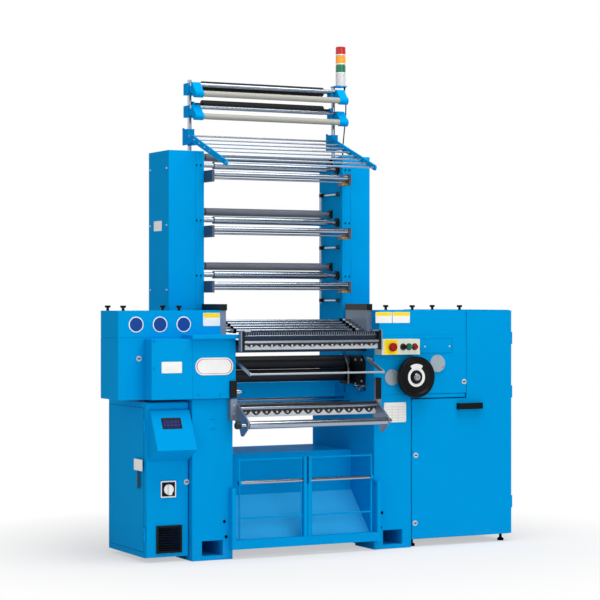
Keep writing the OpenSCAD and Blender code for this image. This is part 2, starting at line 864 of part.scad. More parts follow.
// One clamp on the right post: a post block, a web, a front block and lobe, and an ear for the foam roller
module post_clamp(i) {
    z = clamp_top(i);
    front_low = z - clamp_h * 0.8;
    difference() {
        union() {
            block([clamp_in_x, post_y - 24, z - clamp_h], [clamp_out_x, post_y + 24, z]);
            block([post_x - web_w / 2, rod_y, z - clamp_h * 0.75], [post_x + web_w / 2, post_y, z - 6]);
            side_plate([[tube_y - lobe_d / 2, z - tube_down], [tube_y + lobe_d / 2, z - tube_down],
                [rod_y + 14, front_low], [rod_y + 14, z], [rod_y - 16, z]], clamp_in_x, clamp_out_x);
            bar_x(lobe_d, clamp_in_x, clamp_out_x, tube_y, z - tube_down);
            block([clamp_in_x, foam_y - ear_r, z - clamp_h / 2],
                [clamp_in_x + ear_t, foam_y + ear_r, foam_z(i)]);
            bar_x(ear_r * 2, clamp_in_x, clamp_in_x + ear_t, foam_y, foam_z(i));
        }
        bar_z(post_d + 2 * run_gap, z - clamp_h * 2, z + clamp_h, post_x, post_y);
        bar_x(foam_journal_d + 2 * run_gap, clamp_in_x - past, clamp_in_x + 8.5, foam_y, foam_z(i));
        bar_x(tension_rod_d + 2 * run_gap, clamp_in_x - past, clamp_out_x + past, rod_y, z - rod_down);
        bar_x(tension_tube_d + 2 * run_gap, clamp_in_x - past, post_x, tube_y, z - tube_down);
    }
}

// Clamps on both posts, and the plate on top of the right post that carries the signal lamp
lamp_plate_t = 5;
lamp_x = post_x + 24;
lamp_y = post_y - 35;
module post_clamps() {
    color(blue) {
        for (i = [1 : 2]) {
            post_clamp(i);
            mirror([1, 0, 0])
                post_clamp(i);
        }
        block([post_x - post_d / 2, lamp_y - lamp_d / 2, post_top],
            [lamp_x + lamp_d / 2, post_y + post_d / 2, post_top + lamp_plate_t]);
    }
}

module foam_roller(i) {
    color(black)
        roller(foam_d, foam_face_x, foam_journal_d + 4, clamp_in_x - 0.5, foam_journal_d, clamp_in_x + 8,
            foam_y, foam_z(i));
}

module tension_tubes() {
    color(cream)
        for (i = [1 : 2])
            bar_x(tension_tube_d, -post_x, post_x, tube_y, clamp_top(i) - tube_down);
}

// Signal lamp on its plate: a base and three lenses
lamp_z = post_top + lamp_plate_t;
lens_colours = ["green", "orange", "red"];
module signal_lamp() {
    color("white")
        bar_z(lamp_d, lamp_z, lamp_z + lamp_base_h, lamp_x, lamp_y);
    for (i = [0 : 2])
        color(lens_colours[i])
            translate([lamp_x, lamp_y, lamp_z + lamp_base_h + i * lens_h])
                rotate_extrude()
                    polygon([[0, 0], [lamp_d / 2 - 3, 0], [lamp_d / 2 - 3, 3], [lamp_d / 2, 3],
                        [lamp_d / 2, lens_h - 3], [lamp_d / 2 - 4, lens_h], [0, lens_h]]);
}

// Lead of the lamp, from the underside of its plate to the top of the right tower
cable_d = 6;
cable_x = lamp_x + 14;
cable_y = lamp_y - 15;
cable_route = [
    [cable_x, cable_y, post_top], [cable_x, cable_y, post_top - 15], [cable_x + 1, cable_y, post_top - 30],
    [cable_x + 4, cable_y, post_top - 55], [cable_x + 7, cable_y, post_top - 85],
        [cable_x + 8, cable_y + 1, post_top - 120],
    [cable_x + 7, cable_y + 3, post_top - 160], [cable_x + 4, cable_y + 6, post_top - 200],
    [cable_x + 1, cable_y + 9, post_top - 245], [cable_x - 2, cable_y + 12, tower_level + 60],
    [cable_x - 3, cable_y + 14, tower_level + 25], [cable_x - 3, cable_y + 14, tower_level]
];
cable_sides = 8;
module lamp_cable() {
    last = len(cable_route) - 1;
    rings = [for (p = cable_route) for (s = [0 : cable_sides - 1])
        p + cable_d / 2 * [cos(360 * s / cable_sides), sin(360 * s / cable_sides), 0]];
    sides = [for (r = [0 : last - 1]) for (s = [0 : cable_sides - 1])
        let (t = (s + 1) % cable_sides)
            [r * cable_sides + s, r * cable_sides + t,
                (r + 1) * cable_sides + t, (r + 1) * cable_sides + s]];
    start = [for (s = [cable_sides - 1 : -1 : 0]) s];
    end = [for (s = [0 : cable_sides - 1]) last * cable_sides + s];
    color(black)
        polyhedron(rings, concat(sides, [start, end]));
}

// Comb ahead of the posts: two arms with a hub and a row of rods
hub_low = tower_level + 37;
hub_top = hub_low + 85;
hub_d = post_d + 16;
comb_tip_d = 28;
comb_tip_y = post_y - comb_reach;
comb_tip_z = hub_top - comb_drop - comb_tip_d / 2;
comb_root_y = post_y - 45;
comb_back_y = post_y + 37;
comb_slope = comb_drop / (comb_back_y - comb_tip_y);
comb_root_z = hub_top - comb_slope * (comb_back_y - comb_root_y) - comb_tip_d / 2;
function comb_y(i) = comb_root_y + (comb_tip_y - comb_root_y) * i / (comb_count - 1);
function comb_z(i) = comb_root_z + (comb_tip_z - comb_root_z) * i / (comb_count - 1);

// Left face of a comb plate, on the left of its post
function comb_plate_x(side) = side * post_x - post_d / 2 - 4 - comb_arm_t;
module comb_bracket(side) {
    x0 = comb_plate_x(side);
    web_y = post_y - 70;
    web_z = hub_top - comb_slope * (comb_back_y - web_y) - comb_tip_d - 6;
    difference() {
        union() {
            side_plate([[comb_back_y, hub_low], [comb_back_y, hub_top],
                [comb_tip_y, comb_tip_z + comb_tip_d / 2], [comb_tip_y, comb_tip_z - comb_tip_d / 2],
                [web_y, web_z], [web_y + 12, hub_low]], x0, x0 + comb_arm_t);
            bar_x(comb_tip_d, x0, x0 + comb_arm_t, comb_tip_y, comb_tip_z);
            block([x0 + comb_arm_t / 2, post_y - hub_d / 2, hub_low + 6],
                [side * post_x + hub_d / 2, post_y + hub_d / 2, hub_top - 8]);
        }
        bar_z(post_d + 2 * run_gap, hub_low - past, hub_top + past, side * post_x, post_y);
        for (i = [0 : comb_count - 1])
            bar_x(comb_rod_d + 2 * run_gap, x0 - past, x0 + comb_arm_t + past, comb_y(i), comb_z(i));
    }
}

module comb_brackets() {
    color(blue)
        for (side = [-1, 1])
            comb_bracket(side);
}

// Grey plates that carry the weft bars, each with a black cap
bracket_front = left_setback + 4;
cap_h = 30;
module bar_brackets() {
    for (side = [-1, 1]) {
        x0 = side < 0 ? -lid_x : inner_x;
        color(steel)
            difference() {
                block([x0, bracket_front, lid_z], [x0 + bracket_t, head_back_y, head_top]);
                for (i = [1 : weft_count])
                    bar_x(weft_d + 2 * run_gap, x0 - past, x0 + bracket_t + past, weft_y(i), weft_z(i));
            }
        color(black)
            block([x0 - (side > 0 ? 3 : 0), bracket_front - 6, head_top],
                [x0 + bracket_t + (side < 0 ? 3 : 0), head_back_y, head_top + cap_h]);
    }
}

weft_x = lid_x + weft_travel + 14;
module weft_bar(i) {
    color(chrome)
        bar_x(weft_d, -weft_x, weft_x, weft_y(i), weft_z(i));
}

// Needle bed: a beam between the heads, a table ahead of it, a rail and two end blocks
bed_x = inner_x - 22;
bed_front = -bed_out;
table_low = bed_level + 26;
table_top = bed_level + 46;
rail_d = 9;
table_front = bed_front + rail_d;
end_block_t = 14;
end_block_h = 86;
beam_t = 60;
// Bent clips that hold the needle bar's ends
clip_t = 6;
clip_in = 30;
beam_front = left_setback + 5;
module needle_bed() {
    color(steel) {
        block([-inner_x, beam_front, bed_level - 14], [inner_x, beam_front + beam_t, table_top]);
        block([-bed_x, table_front, table_low], [bed_x, beam_front, table_top]);
        block([-bed_x, bed_front, table_top - 12], [bed_x, table_front, table_top - 2]);
        for (side = [-1, 1])
            difference() {
                block([side * bed_x - (side < 0 ? end_block_t : 0), bed_front, bed_level],
                    [side * bed_x + (side > 0 ? end_block_t : 0), bed_front + 32, bed_level + end_block_h]);
                bar_x(12, side * bed_x - 20, side * bed_x + 20, bed_front + 16, bed_level + 70);
            }
        for (side = [-1, 1]) {
            clip_x = side * (bed_x + end_block_t);
            block([min(clip_x, clip_x + side * clip_t), bed_front, bed_level - 4],
                [max(clip_x, clip_x + side * clip_t), bed_front + 26, bed_level + end_block_h + clip_t]);
            block([min(clip_x, side * (bed_x - clip_in)), bed_front, bed_level + end_block_h],
                [max(clip_x, side * (bed_x - clip_in)), bed_front + 26, bed_level + end_block_h + clip_t]);
        }
    }
}

// Needle bar on the table, with a comb of hooked needles along its back edge
needle_bar_y = bed_front + 16;
needle_bar_w = 38;
needle_bar_h = 38;
needle_lift = 0.4;
needle_pitch = 12;
needle_count = floor((2 * bed_x - 40) / needle_pitch);
module needle_bar() {
    base_z = table_top + needle_lift;
    span_x = bed_x - 3;
    color(steel) {
        difference() {
            block([-span_x, needle_bar_y, base_z],
                [span_x, needle_bar_y + needle_bar_w, base_z + needle_bar_h]);
            block([-span_x + 20, needle_bar_y + needle_bar_w - 10, base_z + 14],
                [span_x - 20, needle_bar_y + needle_bar_w + past, base_z + needle_bar_h - 8]);
        }
        for (i = [0 : needle_count - 1])
            translate([(i - (needle_count - 1) / 2) * needle_pitch - 1,
                needle_bar_y + needle_bar_w - 12, base_z + 20])
                cube([2, 30, 4]);
    }
}

// A plate in the x-z plane with a scalloped lower edge and an eyelet in each scallop
scallop_steps = 8;
scallop_margin = 10;
module scalloped_plate(half_w, low, top, depth, y, t) {
    edge_w = half_w - scallop_margin;
    pitch = 2 * edge_w / scallop_count;
    edge = [for (i = [0 : scallop_count * scallop_steps])
        [-edge_w + pitch * i / scallop_steps, low + depth * (1 - abs(sin(180 * i / scallop_steps)))]];
    translate([0, y + t, 0])
        rotate([90, 0, 0])
            linear_extrude(t)
                difference() {
                    polygon(concat([[-half_w, top], [-half_w, low + depth]], edge,
                        [[half_w, low + depth], [half_w, top]]));
                    for (i = [0 : scallop_count - 1])
                        translate([-edge_w + pitch * (i + 0.5), low + eyelet_d / 2 + 3])
                            circle(d = eyelet_d);
                }
}

// Rack arms hold the lower eyelet plate between their inner faces
rack_left_x = -inner_x + cover_lap;
rack_right_x = inner_x;
rack_in_left = rack_left_x + rack_arm_t;
rack_in_right = rack_right_x - rack_arm_t;
plate_t = 3;
lower_plate_y = -34;
lower_plate_low = rack_level + 64;
lower_plate_top = rack_level + 90;
module eyelet_plates() {
    color(black) {
        scalloped_plate(bed_x, table_low - 11, table_top - 12, 11, table_front - plate_t, plate_t);
        translate([(rack_in_left + rack_in_right) / 2, 0, 0])
            scalloped_plate((rack_in_right - rack_in_left) / 2, lower_plate_low, lower_plate_top, 15,
                lower_plate_y, plate_t);
    }
    color("white") {
        block([-bed_x, table_front + seat_gap, bed_level + 3],
            [bed_x, table_front + seat_gap + plate_t, table_low]);
        block([rack_in_left, lower_plate_y + plate_t + seat_gap, lower_plate_low - 34],
            [rack_in_right, lower_plate_y + 2 * plate_t + seat_gap, lower_plate_low + 6]);
    }
}

// Rails and plates on the side frames, and the arms of the rack
rail_up = 83;
rack_seat_z = frame_h - 20;
rack_low_z = frame_h - 100;
rack_front_y = -rack_out - rack_roller_d / 2;
rack_journal_d = 16;
rack_rod_y = -50;
rack_rod_z = rack_level + 73;
module rack_arm(x0) {
    difference() {
        side_plate([[-2, rack_seat_z], [-30, rack_seat_z], [rack_front_y + 4, rack_level + 18],
            [rack_front_y, rack_level],
            [-rack_out - 4, rack_level - 20], [-92, rack_level - 54], [-74, rack_level - 54],
                [-62, rack_level - 26],
            [-2, rack_low_z + 3]], x0, x0 + rack_arm_t);
        bar_x(rack_journal_d + 2 * run_gap, x0 - past, x0 + rack_arm_t + past, -rack_out, rack_level);
    }
}

module rack_arms() {
    rail_left = -cover_proud - rail_t;
    color(black) {
        block([rack_left_x - rail_w, rail_left, frame_h + 5],
            [rack_left_x, -cover_proud, frame_h + rail_up]);
        block([rack_right_x, -rail_t, rack_seat_z], [rack_right_x + rail_w, 0, frame_h + rail_up]);
    }
    color(steel) {
        block([rack_left_x - rail_w, rail_left, rack_low_z], [rack_left_x, 0, frame_h - 1]);
        block([rack_right_x, -rail_t, rack_low_z], [rack_right_x + rail_w, 0, rack_seat_z]);
        rack_arm(rack_left_x);
        rack_arm(rack_in_right);
    }
}

// Rack roller with the black hand knob on its left end
rack_knob_x = rack_left_x - 57;
module rack_roller() {
    color(chrome) {
        bar_x(rack_roller_d, rack_in_left + end_gap, rack_in_right - end_gap, -rack_out, rack_level);
        bar_x(rack_journal_d, rack_knob_x, rack_right_x + 12, -rack_out, rack_level);
        bar_x(rack_journal_d + 8, rack_right_x + 1, rack_right_x + 14, -rack_out, rack_level);
    }
    color(black)
        translate([rack_knob_x, -rack_out, rack_level])
            rotate([0, 90, 0])
                rotate_extrude()
                    polygon([[0, 0], [rack_knob_r - 4, 0], [rack_knob_r, 4], [rack_knob_r, 22],
                        [rack_knob_r - 5, 28], [0, 28]]);
}

// Bearing of the take-down rollers: a plate with a round front, held off a wall plate by three spacers
takedown_face_x = inner_x - 39;
takedown_plate_x = takedown_face_x + 2;
takedown_plate_t = 7;
takedown_wall_x = inner_x - 10;
takedown_round = 80;
spacer_d = 16;
module takedown_bearing() {
    back_y = takedown_y + 38;
    front_y = takedown_y - 49;
    low_z = takedown_lower_z - 45;
    top_z = takedown_upper_z + 32;
    difference() {
        union() {
            intersection() {
                block([takedown_plate_x, front_y, low_z],
                    [takedown_plate_x + takedown_plate_t, back_y, top_z]);
                union() {
                    bar_x(2 * takedown_round, takedown_plate_x, inner_x,
                        front_y + takedown_round, top_z - takedown_round);
                    block([takedown_plate_x, front_y, low_z], [inner_x, back_y, top_z - takedown_round]);
                }
            }
            side_plate([[front_y - 115, low_z - 30], [front_y - 115, top_z - 30], [front_y - 85, top_z],
                [back_y, top_z], [back_y, low_z], [front_y, low_z], [front_y - 30, low_z - 30]],
                takedown_wall_x, inner_x);
            for (place = [[-32, 27], [28, 31], [-32, -29]])
                bar_x(spacer_d, takedown_plate_x, inner_x,
                    takedown_y + place[0], takedown_lower_z + place[1]);
        }
        for (z = [takedown_upper_z, takedown_lower_z])
            bar_x(takedown_neck_d + 2 * run_gap, takedown_plate_x - past, inner_x + past, takedown_y, z);
    }
}

// Toothed belt wheel about x, from x0 to x1
wheel_teeth = 20;
tooth_h = 4;
module toothed_wheel(d, x0, x1, y, z) {
    tooth_gap = PI * d / wheel_teeth / 2;
    translate([x0, y, z])
        rotate([90, 0, 90])
            linear_extrude(x1 - x0)
                difference() {
                    circle(d = d);
                    for (i = [0 : wheel_teeth - 1])
                        rotate(360 * i / wheel_teeth)
                            translate([d / 2 - tooth_h, -tooth_gap / 2])
                                square([tooth_h + past, tooth_gap]);
                }
}

belt_wheel_in = 9;
belt_wheel_gap = 3;
takedown_neck_d = takedown_journal_d + 6;
module takedown_roller(i) {
    d = i == 1 ? takedown_d : takedown_small_d;
    z = i == 1 ? takedown_upper_z : takedown_lower_z;
    color(black)
        roller(d, takedown_face_x, takedown_neck_d, inner_x - end_gap,
            takedown_journal_d, inner_x + boss_t - 2, takedown_y, z);
    color(steel)
        toothed_wheel(d - belt_wheel_in, takedown_plate_x + takedown_plate_t + belt_wheel_gap,
            takedown_wall_x - belt_wheel_gap, takedown_y, z);
}

// Stop bar: a rod on two arms that turn on pins in the cover and the right head
stop_arm_x = inner_x - 22;
stop_arm_t = 6;
stop_rod_y = stop_pivot_y - stop_reach;
stop_rod_z = stop_pivot_z - stop_drop;
module stop_bar() {
    arm_l = sqrt(stop_reach * stop_reach + stop_drop * stop_drop);
    color(steel) {
        bar_x(stop_d, -stop_arm_x, stop_arm_x, stop_rod_y, stop_rod_z);
        for (x = [-stop_arm_x, stop_arm_x - stop_arm_t]) {
            translate([x, stop_pivot_y, stop_pivot_z])
                rotate([atan2(stop_drop, stop_reach), 0, 0])
                    translate([0, -arm_l, -stop_d * 0.8])
                        cube([stop_arm_t, arm_l, stop_d * 1.6]);
            bar_x(stop_pin_d * 1.6, x, x + stop_arm_t, stop_pivot_y, stop_pivot_z);
            bar_x(stop_d * 1.6, x, x + stop_arm_t, stop_rod_y, stop_rod_z);
        }
        bar_x(stop_pin_d, cover_right_x - boss_t + 4, -stop_arm_x + 1, stop_pivot_y, stop_pivot_z);
        bar_x(stop_pin_d, stop_arm_x - 1, inner_x + boss_t - 4, stop_pivot_y, stop_pivot_z);
    }
}

// Turned clamp stub on a wall at x0, pointing to the opening
wall_clamp_d = 34;
wall_clamp_l = 34;
wall_clamp_z = frame_h + 29;
right_clamp_y = 100;
clamp_lever_d = 9;
clamp_lever_l = 116;
module wall_clamp(x0, way, y) {
    shoulder = way * wall_clamp_l * 0.65;
    bar_x(wall_clamp_d, min(x0, x0 + shoulder), max(x0, x0 + shoulder), y, wall_clamp_z);
    end = way * wall_clamp_l;
    bar_x(wall_clamp_d * 0.66, min(x0, x0 + end), max(x0, x0 + end), y, wall_clamp_z);
}

// All fixed chrome bars: posts, tension, comb, guard, gate and rack rods, and the lower guide rods
lower_rod_d = 14;
module chrome_rods() {
    color(chrome) {
        for (x = [-post_x, post_x])
            bar_z(post_d, tower_level, post_top, x, post_y);
        for (i = [1 : 2])
            bar_x(tension_rod_d, -clamp_out_x, clamp_out_x, rod_y, clamp_top(i) - rod_down);
        for (i = [0 : comb_count - 1])
            bar_x(comb_rod_d, comb_plate_x(-1), comb_plate_x(1) + comb_arm_t, comb_y(i), comb_z(i));
        for (i = [1 : 3])
            bar_x(guard_d, -bearing_x, bearing_x, press_y + 6, press_z(i) - guard_drop);
        bar_x(gate_tube_d, -gate_wire_x - 6, gate_wire_x + 6, gate_wire_y, gate_tube_z);
        bar_x(rack_rod_d, rack_in_left, rack_in_right, rack_rod_y, rack_rod_z);
        bar_x(lower_rod_d, -inner_x, inner_x, tower_y - 15, frame_h - 25);
        bar_x(lower_rod_d, -inner_x, inner_x, tower_y - 75, frame_h - 42);
        for (i = [1 : 3])
            bar_y(guide_d, guide_front_y - 12, guide_back_y + 12, guide_x, guide_z(i));
        bar_z(guide_rod_d, guide_z(3) - 14, guide_z(1) + 14, guide_rod_x, guide_back_y);
        wall_clamp(cover_right_x, 1, 0);
        wall_clamp(takedown_wall_x, -1, right_clamp_y);
        bar_y(clamp_lever_d, right_clamp_y - clamp_lever_l / 2, right_clamp_y + clamp_lever_l / 2,
            takedown_wall_x - 10, wall_clamp_z + wall_clamp_d * 0.4);
    }
}

// Drive: handwheel, main shaft and geared motor on one axis
wheel_front = -64;
wheel_back = -36;
motor_front = 128;
module main_shaft() {
    color(steel)
        difference() {
            bar_y(shaft_d, wheel_front - 4, motor_front - 0.5, wheel_x, wheel_z);
            bar_y(8, wheel_front - 4 - past, wheel_front + 16, wheel_x, wheel_z);
        }
}

module handwheel() {
    r = wheel_d / 2;
    hub_r = shaft_d / 2 + 14;
    h = wheel_back - wheel_front;
    color(black)
        translate([wheel_x, wheel_back, wheel_z])
            rotate([90, 0, 0])
                rotate_extrude($fn = 96)
                    polygon([[shaft_d / 2 + run_gap, 0], [hub_r, 0], [hub_r + 4, 8], [r - 22, 8],
                        [r - 16, 0], [r - 4, 0],
                        [r, 5], [r, h - 6], [r - 6, h], [r - 16, h], [r - 24, h - 9], [hub_r + 6, h - 13],
                        [hub_r, h - 2], [shaft_d / 2 + run_gap, h - 2]]);
}

module drive_motor() {
    back_y = head_back_y - sheet_t;
    color(steel)
        difference() {
            union() {
                bar_y(motor_d, motor_front + 28, back_y - 10, wheel_x, wheel_z);
                block([wheel_x - motor_d / 2, back_y - 10, frame_h + sheet_t],
                    [wheel_x + motor_d / 2, back_y, wheel_z + motor_d / 2]);
                bar_y(motor_d * 0.7, motor_front, motor_front + 28, wheel_x, wheel_z);
            }
            for (a = [0 : 30 : 330])
                translate([wheel_x, motor_front + 40, wheel_z])
                    rotate([-90, a, 0])
                        translate([motor_d / 2, -2.5, 0])
                            cube([8, 5, 80], center = false);
        }
}

// Push buttons of the control box
module push_button(x, colour) {
    color(colour) {
        bar_y(button_d, -box_d - 16, -box_d - button_travel - 1, x, button_z);
        bar_y(stem_d, -box_d - 8, -box_d + sheet_t + 8, x, button_z);
    }
}

module estop_button() {
    color("red")
        translate([estop_x, -box_d - button_travel - 3, button_z])
            rotate([90, 0, 0])
                rotate_extrude()
                    polygon([[0, 0], [estop_d * 0.32, 0], [estop_d * 0.36, 8], [estop_d / 2, 10],
                        [estop_d / 2, 18],
                        [estop_d * 0.42, 24], [0, 26]]);
    color("red")
        bar_y(stem_d, -box_d - button_travel - 4, -box_d + sheet_t + 8, estop_x, button_z);
}

module jog_button() {
    push_button(jog_x, black);
}

module start_button() {
    push_button(jog_x + button_pitch, "green");
}

module stop_button() {
    push_button(jog_x + 2 * button_pitch, "red");
}

// Control door: a folded panel with the sloped console welded to its front
control_door_front = control_y - 2 - door_t;
control_door_left = control_left_x + 0.5;
control_door_right = -outer_x - 5;
console_left = control_door_left + 11;
console_right = control_door_right - 1;
console_top = control_top - 37;
console_lip_z = console_top - 177;
console_low = console_lip_z - 56;
console_lip_y = control_door_front - console_out;
console_root_y = control_door_front - 16;
console_tilt = atan2(console_root_y - console_lip_y, console_top - console_lip_z);
console_mid_x = (console_left + console_right) / 2;
screen_x = console_mid_x - 4;
screen_t = 6;
screen_drop = 38;
switch_x = console_mid_x - 2;
switch_drop = 129;
switch_z = console_low - switch_drop;
switch_w = 76;
switch_plate_t = 4;
switch_stem_d = 12;
vent_x = console_mid_x + 2;
vent_z = control_low + 84;
vent_t = 7;

// Places its children on the console's sloped face, x across and y up the slope, z out of it
module on_console() {
    translate([screen_x, console_root_y, console_top])
        rotate([90 - console_tilt, 0, 0])
            translate([0, -screen_drop - screen_h / 2, 0])
                children();
}

module control_door() {
    back_y = control_door_front + door_t;
    color(blue) {
        difference() {
            union() {
                block([control_door_left, control_door_front, control_low + 3],
                    [control_door_right, back_y, control_top - 3]);
                side_plate([[control_door_front + 1, console_low], [control_door_front + 1, console_top + 6],
                    [control_door_front, console_top + 6], [console_root_y, console_top],
                    [console_lip_y, console_lip_z], [control_door_front, console_low]],
                        console_left, console_right);
                block([switch_x - switch_w / 2, control_door_front - switch_plate_t, switch_z - switch_w / 2],
                    [switch_x + switch_w / 2, control_door_front, switch_z + switch_w / 2]);
            }
            // Folded pan, open towards the cabinet
            block([control_door_left + cabinet_t, control_door_front + cabinet_t,
                control_low + 3 + cabinet_t],
                [control_door_right - cabinet_t, back_y + past, control_top - 3 - cabinet_t]);
            on_console()
                translate([-screen_w / 2 - seat_gap, -screen_h / 2 - seat_gap, -screen_t])
                    cube([screen_w + 2 * seat_gap, screen_h + 2 * seat_gap, screen_t * 3]);
            bar_y(switch_stem_d + 2 * run_gap, control_door_front - 20, back_y, switch_x, switch_z);
            block([vent_x - vent_w / 2 + 9, control_door_front - past, vent_z - vent_w / 2 + 9],
                [vent_x + vent_w / 2 - 9, back_y, vent_z + vent_w / 2 - 9]);
        }
        for (z = control_hinge_z)
            hinge_leaf(control_hinge_x, control_hinge_y, z, control_door_left);
    }
}

module touch_screen() {
    color([0.08, 0.09, 0.16])
        on_console()
            translate([-screen_w / 2, -screen_h / 2, -screen_t])
                difference() {
                    cube([screen_w, screen_h, screen_t + 2]);
                    translate([6, 6, screen_t + 1])
                        cube([screen_w - 12, screen_h - 12, 2]);
                }
}

module vent_grille() {
    pitch = (vent_w - 20) / louvre_count;
    front_y = control_door_front - vent_t;
    color(black) {
        difference() {
            block([vent_x - vent_w / 2, front_y, vent_z - vent_w / 2],
                [vent_x + vent_w / 2, control_door_front, vent_z + vent_w / 2]);
            block([vent_x - vent_w / 2 + 10, front_y - past, vent_z - vent_w / 2 + 10],
                [vent_x + vent_w / 2 - 10, control_door_front + past, vent_z + vent_w / 2 - 10]);
        }
        for (i = [0 : louvre_count - 1])
            translate([vent_x - vent_w / 2 + 9, front_y + 1, vent_z - vent_w / 2 + 10 + pitch * (i + 0.35)])
                rotate([35, 0, 0])
                    cube([vent_w - 18, 6, 2]);
    }
}

module main_switch_knob() {
    face_y = control_door_front - switch_plate_t - 0.5;
    color("white") {
        bar_y(46, face_y - 8, face_y, switch_x, switch_z);
        bar_y(switch_stem_d, face_y - 4, control_door_front + cabinet_t + 10, switch_x, switch_z);
        block([switch_x - 7, face_y - 26, switch_z - 24], [switch_x + 7, face_y - 6, switch_z + 21]);
    }
}

// Right door: an L-shaped folded panel round the right head
right_door_left = cabinet_x + 4;
right_door_right = cabinet_right_x - 0.5;
right_door_low = cabinet_low + 4;
right_door_top = head_top - 3;
right_door_notch_x = notch_x + 0.5;
module door_outline(inset) {
    block([right_door_left + inset, 0, right_door_low + inset],
        [right_door_right - inset, door_t, notch_z - inset]);
    block([right_door_notch_x + inset, 0, right_door_low + inset],
        [right_door_right - inset, door_t, right_door_top - inset]);
}

module right_door() {
    color(blue) {
        difference() {
            door_outline(0);
            translate([0, cabinet_t, 0])
                door_outline(cabinet_t);
        }
        for (z = cabinet_hinge_z)
            hinge_leaf(hinge_x, cabinet_hinge_y, z, right_door_right);
    }
}

handle_x = right_end_x + 13;
handle_h = 30;
handle_out = 26;
handle_bar_t = 12;
module door_handle() {
    color(black) {
        block([handle_x - handle_w / 2, -handle_out, handle_level - handle_h / 2],
            [handle_x + handle_w / 2, -handle_out + handle_bar_t, handle_level + handle_h / 2]);
        for (side = [-1, 1])
            block([handle_x + side * (handle_w / 2 - 9) - 9, -handle_out, handle_level - handle_h / 2],
                [handle_x + side * (handle_w / 2 - 9) + 9, 0, handle_level + handle_h / 2]);
    }
}

to_origin() {
    left_frame();
    right_frame();
    rear_crossbeam();
    cloth_tray();
    tray_gate();
    left_head();
    left_front_cover();
    right_head();
    head_lids();
    control_cabinet();
    right_cabinet();
    left_tower();
    right_tower();
    feed_bearings();
    chrome_rods();
    post_clamps();
    comb_brackets();
    tension_tubes();
    signal_lamp();
    lamp_cable();
    bar_brackets();
    needle_bed();
    eyelet_plates();
    rack_arms();
    control_box();
    cover_knobs();
    drive_motor();
    handwheel();
    main_shaft();
    rubber_roller(1);  // rubber_roller_1
    rubber_roller(2);  // rubber_roller_2
    rubber_roller(3);  // rubber_roller_3
    drive_roller(1);  // drive_roller_1
    drive_roller(2);  // drive_roller_2
    drive_roller(3);  // drive_roller_3
    press_roller(1);  // press_roller_1
    press_roller(2);  // press_roller_2
    press_roller(3);  // press_roller_3
    foam_roller(1);  // foam_roller_1
    foam_roller(2);  // foam_roller_2
    takedown_roller(1);  // takedown_roller_1
    takedown_roller(2);  // takedown_roller_2
    stop_bar();
    rack_roller();
    estop_button();
    jog_button();
    start_button();
    stop_button();
    control_door();
    touch_screen();
    vent_grille();
    main_switch_knob();
    right_door();
    door_handle();
    weft_bar(1);  // weft_bar_1
    weft_bar(2);  // weft_bar_2
    weft_bar(3);  // weft_bar_3
    weft_bar(4);  // weft_bar_4
    weft_bar(5);  // weft_bar_5
    needle_bar();
}
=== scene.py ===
"""Finishes, fittings and photo stage of a crochet machine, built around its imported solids."""

import json
import math

import bmesh
import bpy
from bpy.props import FloatProperty, FloatVectorProperty, PointerProperty
from mathutils import Color, Matrix, Vector


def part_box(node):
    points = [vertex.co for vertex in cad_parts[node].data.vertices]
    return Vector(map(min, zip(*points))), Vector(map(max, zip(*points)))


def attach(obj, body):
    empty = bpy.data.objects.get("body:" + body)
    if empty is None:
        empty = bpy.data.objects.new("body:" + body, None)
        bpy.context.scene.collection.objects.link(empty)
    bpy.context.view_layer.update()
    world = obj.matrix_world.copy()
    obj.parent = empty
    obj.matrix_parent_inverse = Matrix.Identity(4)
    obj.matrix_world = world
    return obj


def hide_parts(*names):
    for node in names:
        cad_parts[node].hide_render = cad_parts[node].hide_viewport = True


bl_info = {
    "name": "Crochet machine dressing",
    "version": (1, 0, 0),
    "blender": (4, 5, 0),
    "location": "3D View > Sidebar > Crochet machine",
    "description": "Paints the machine's solids and adds its signs, plates, fasteners and stage",
    "category": "Object",
}

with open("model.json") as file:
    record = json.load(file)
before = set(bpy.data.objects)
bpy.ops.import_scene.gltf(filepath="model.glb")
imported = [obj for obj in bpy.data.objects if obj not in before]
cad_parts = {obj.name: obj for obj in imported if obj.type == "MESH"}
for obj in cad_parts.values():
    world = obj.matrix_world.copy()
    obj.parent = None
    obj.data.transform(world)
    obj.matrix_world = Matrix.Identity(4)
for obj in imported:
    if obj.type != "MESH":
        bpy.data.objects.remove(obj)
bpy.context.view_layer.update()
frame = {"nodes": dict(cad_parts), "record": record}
MM = 0.001
FRONT = (0, -1, 0)
LEFT = (-1, 0, 0)
RIGHT = (1, 0, 0)
UP = (0, 0, 1)
DOWN = (0, 0, -1)


# Settings


def length(name, description, default):
    """A size in metres that a user would change."""
    return FloatProperty(name=name, description=description, default=default, min=0.0, unit="LENGTH")


def portion(name, description, default):
    """A share of one that a user would change."""
    return FloatProperty(name=name, description=description, default=default, min=0.0, max=1.0, subtype="FACTOR")


def colour(name, description, default):
    """A display colour that a user would change."""
    return FloatVectorProperty(
        name=name, description=description, default=default, size=3, min=0.0, max=1.0, subtype="COLOR_GAMMA"
    )


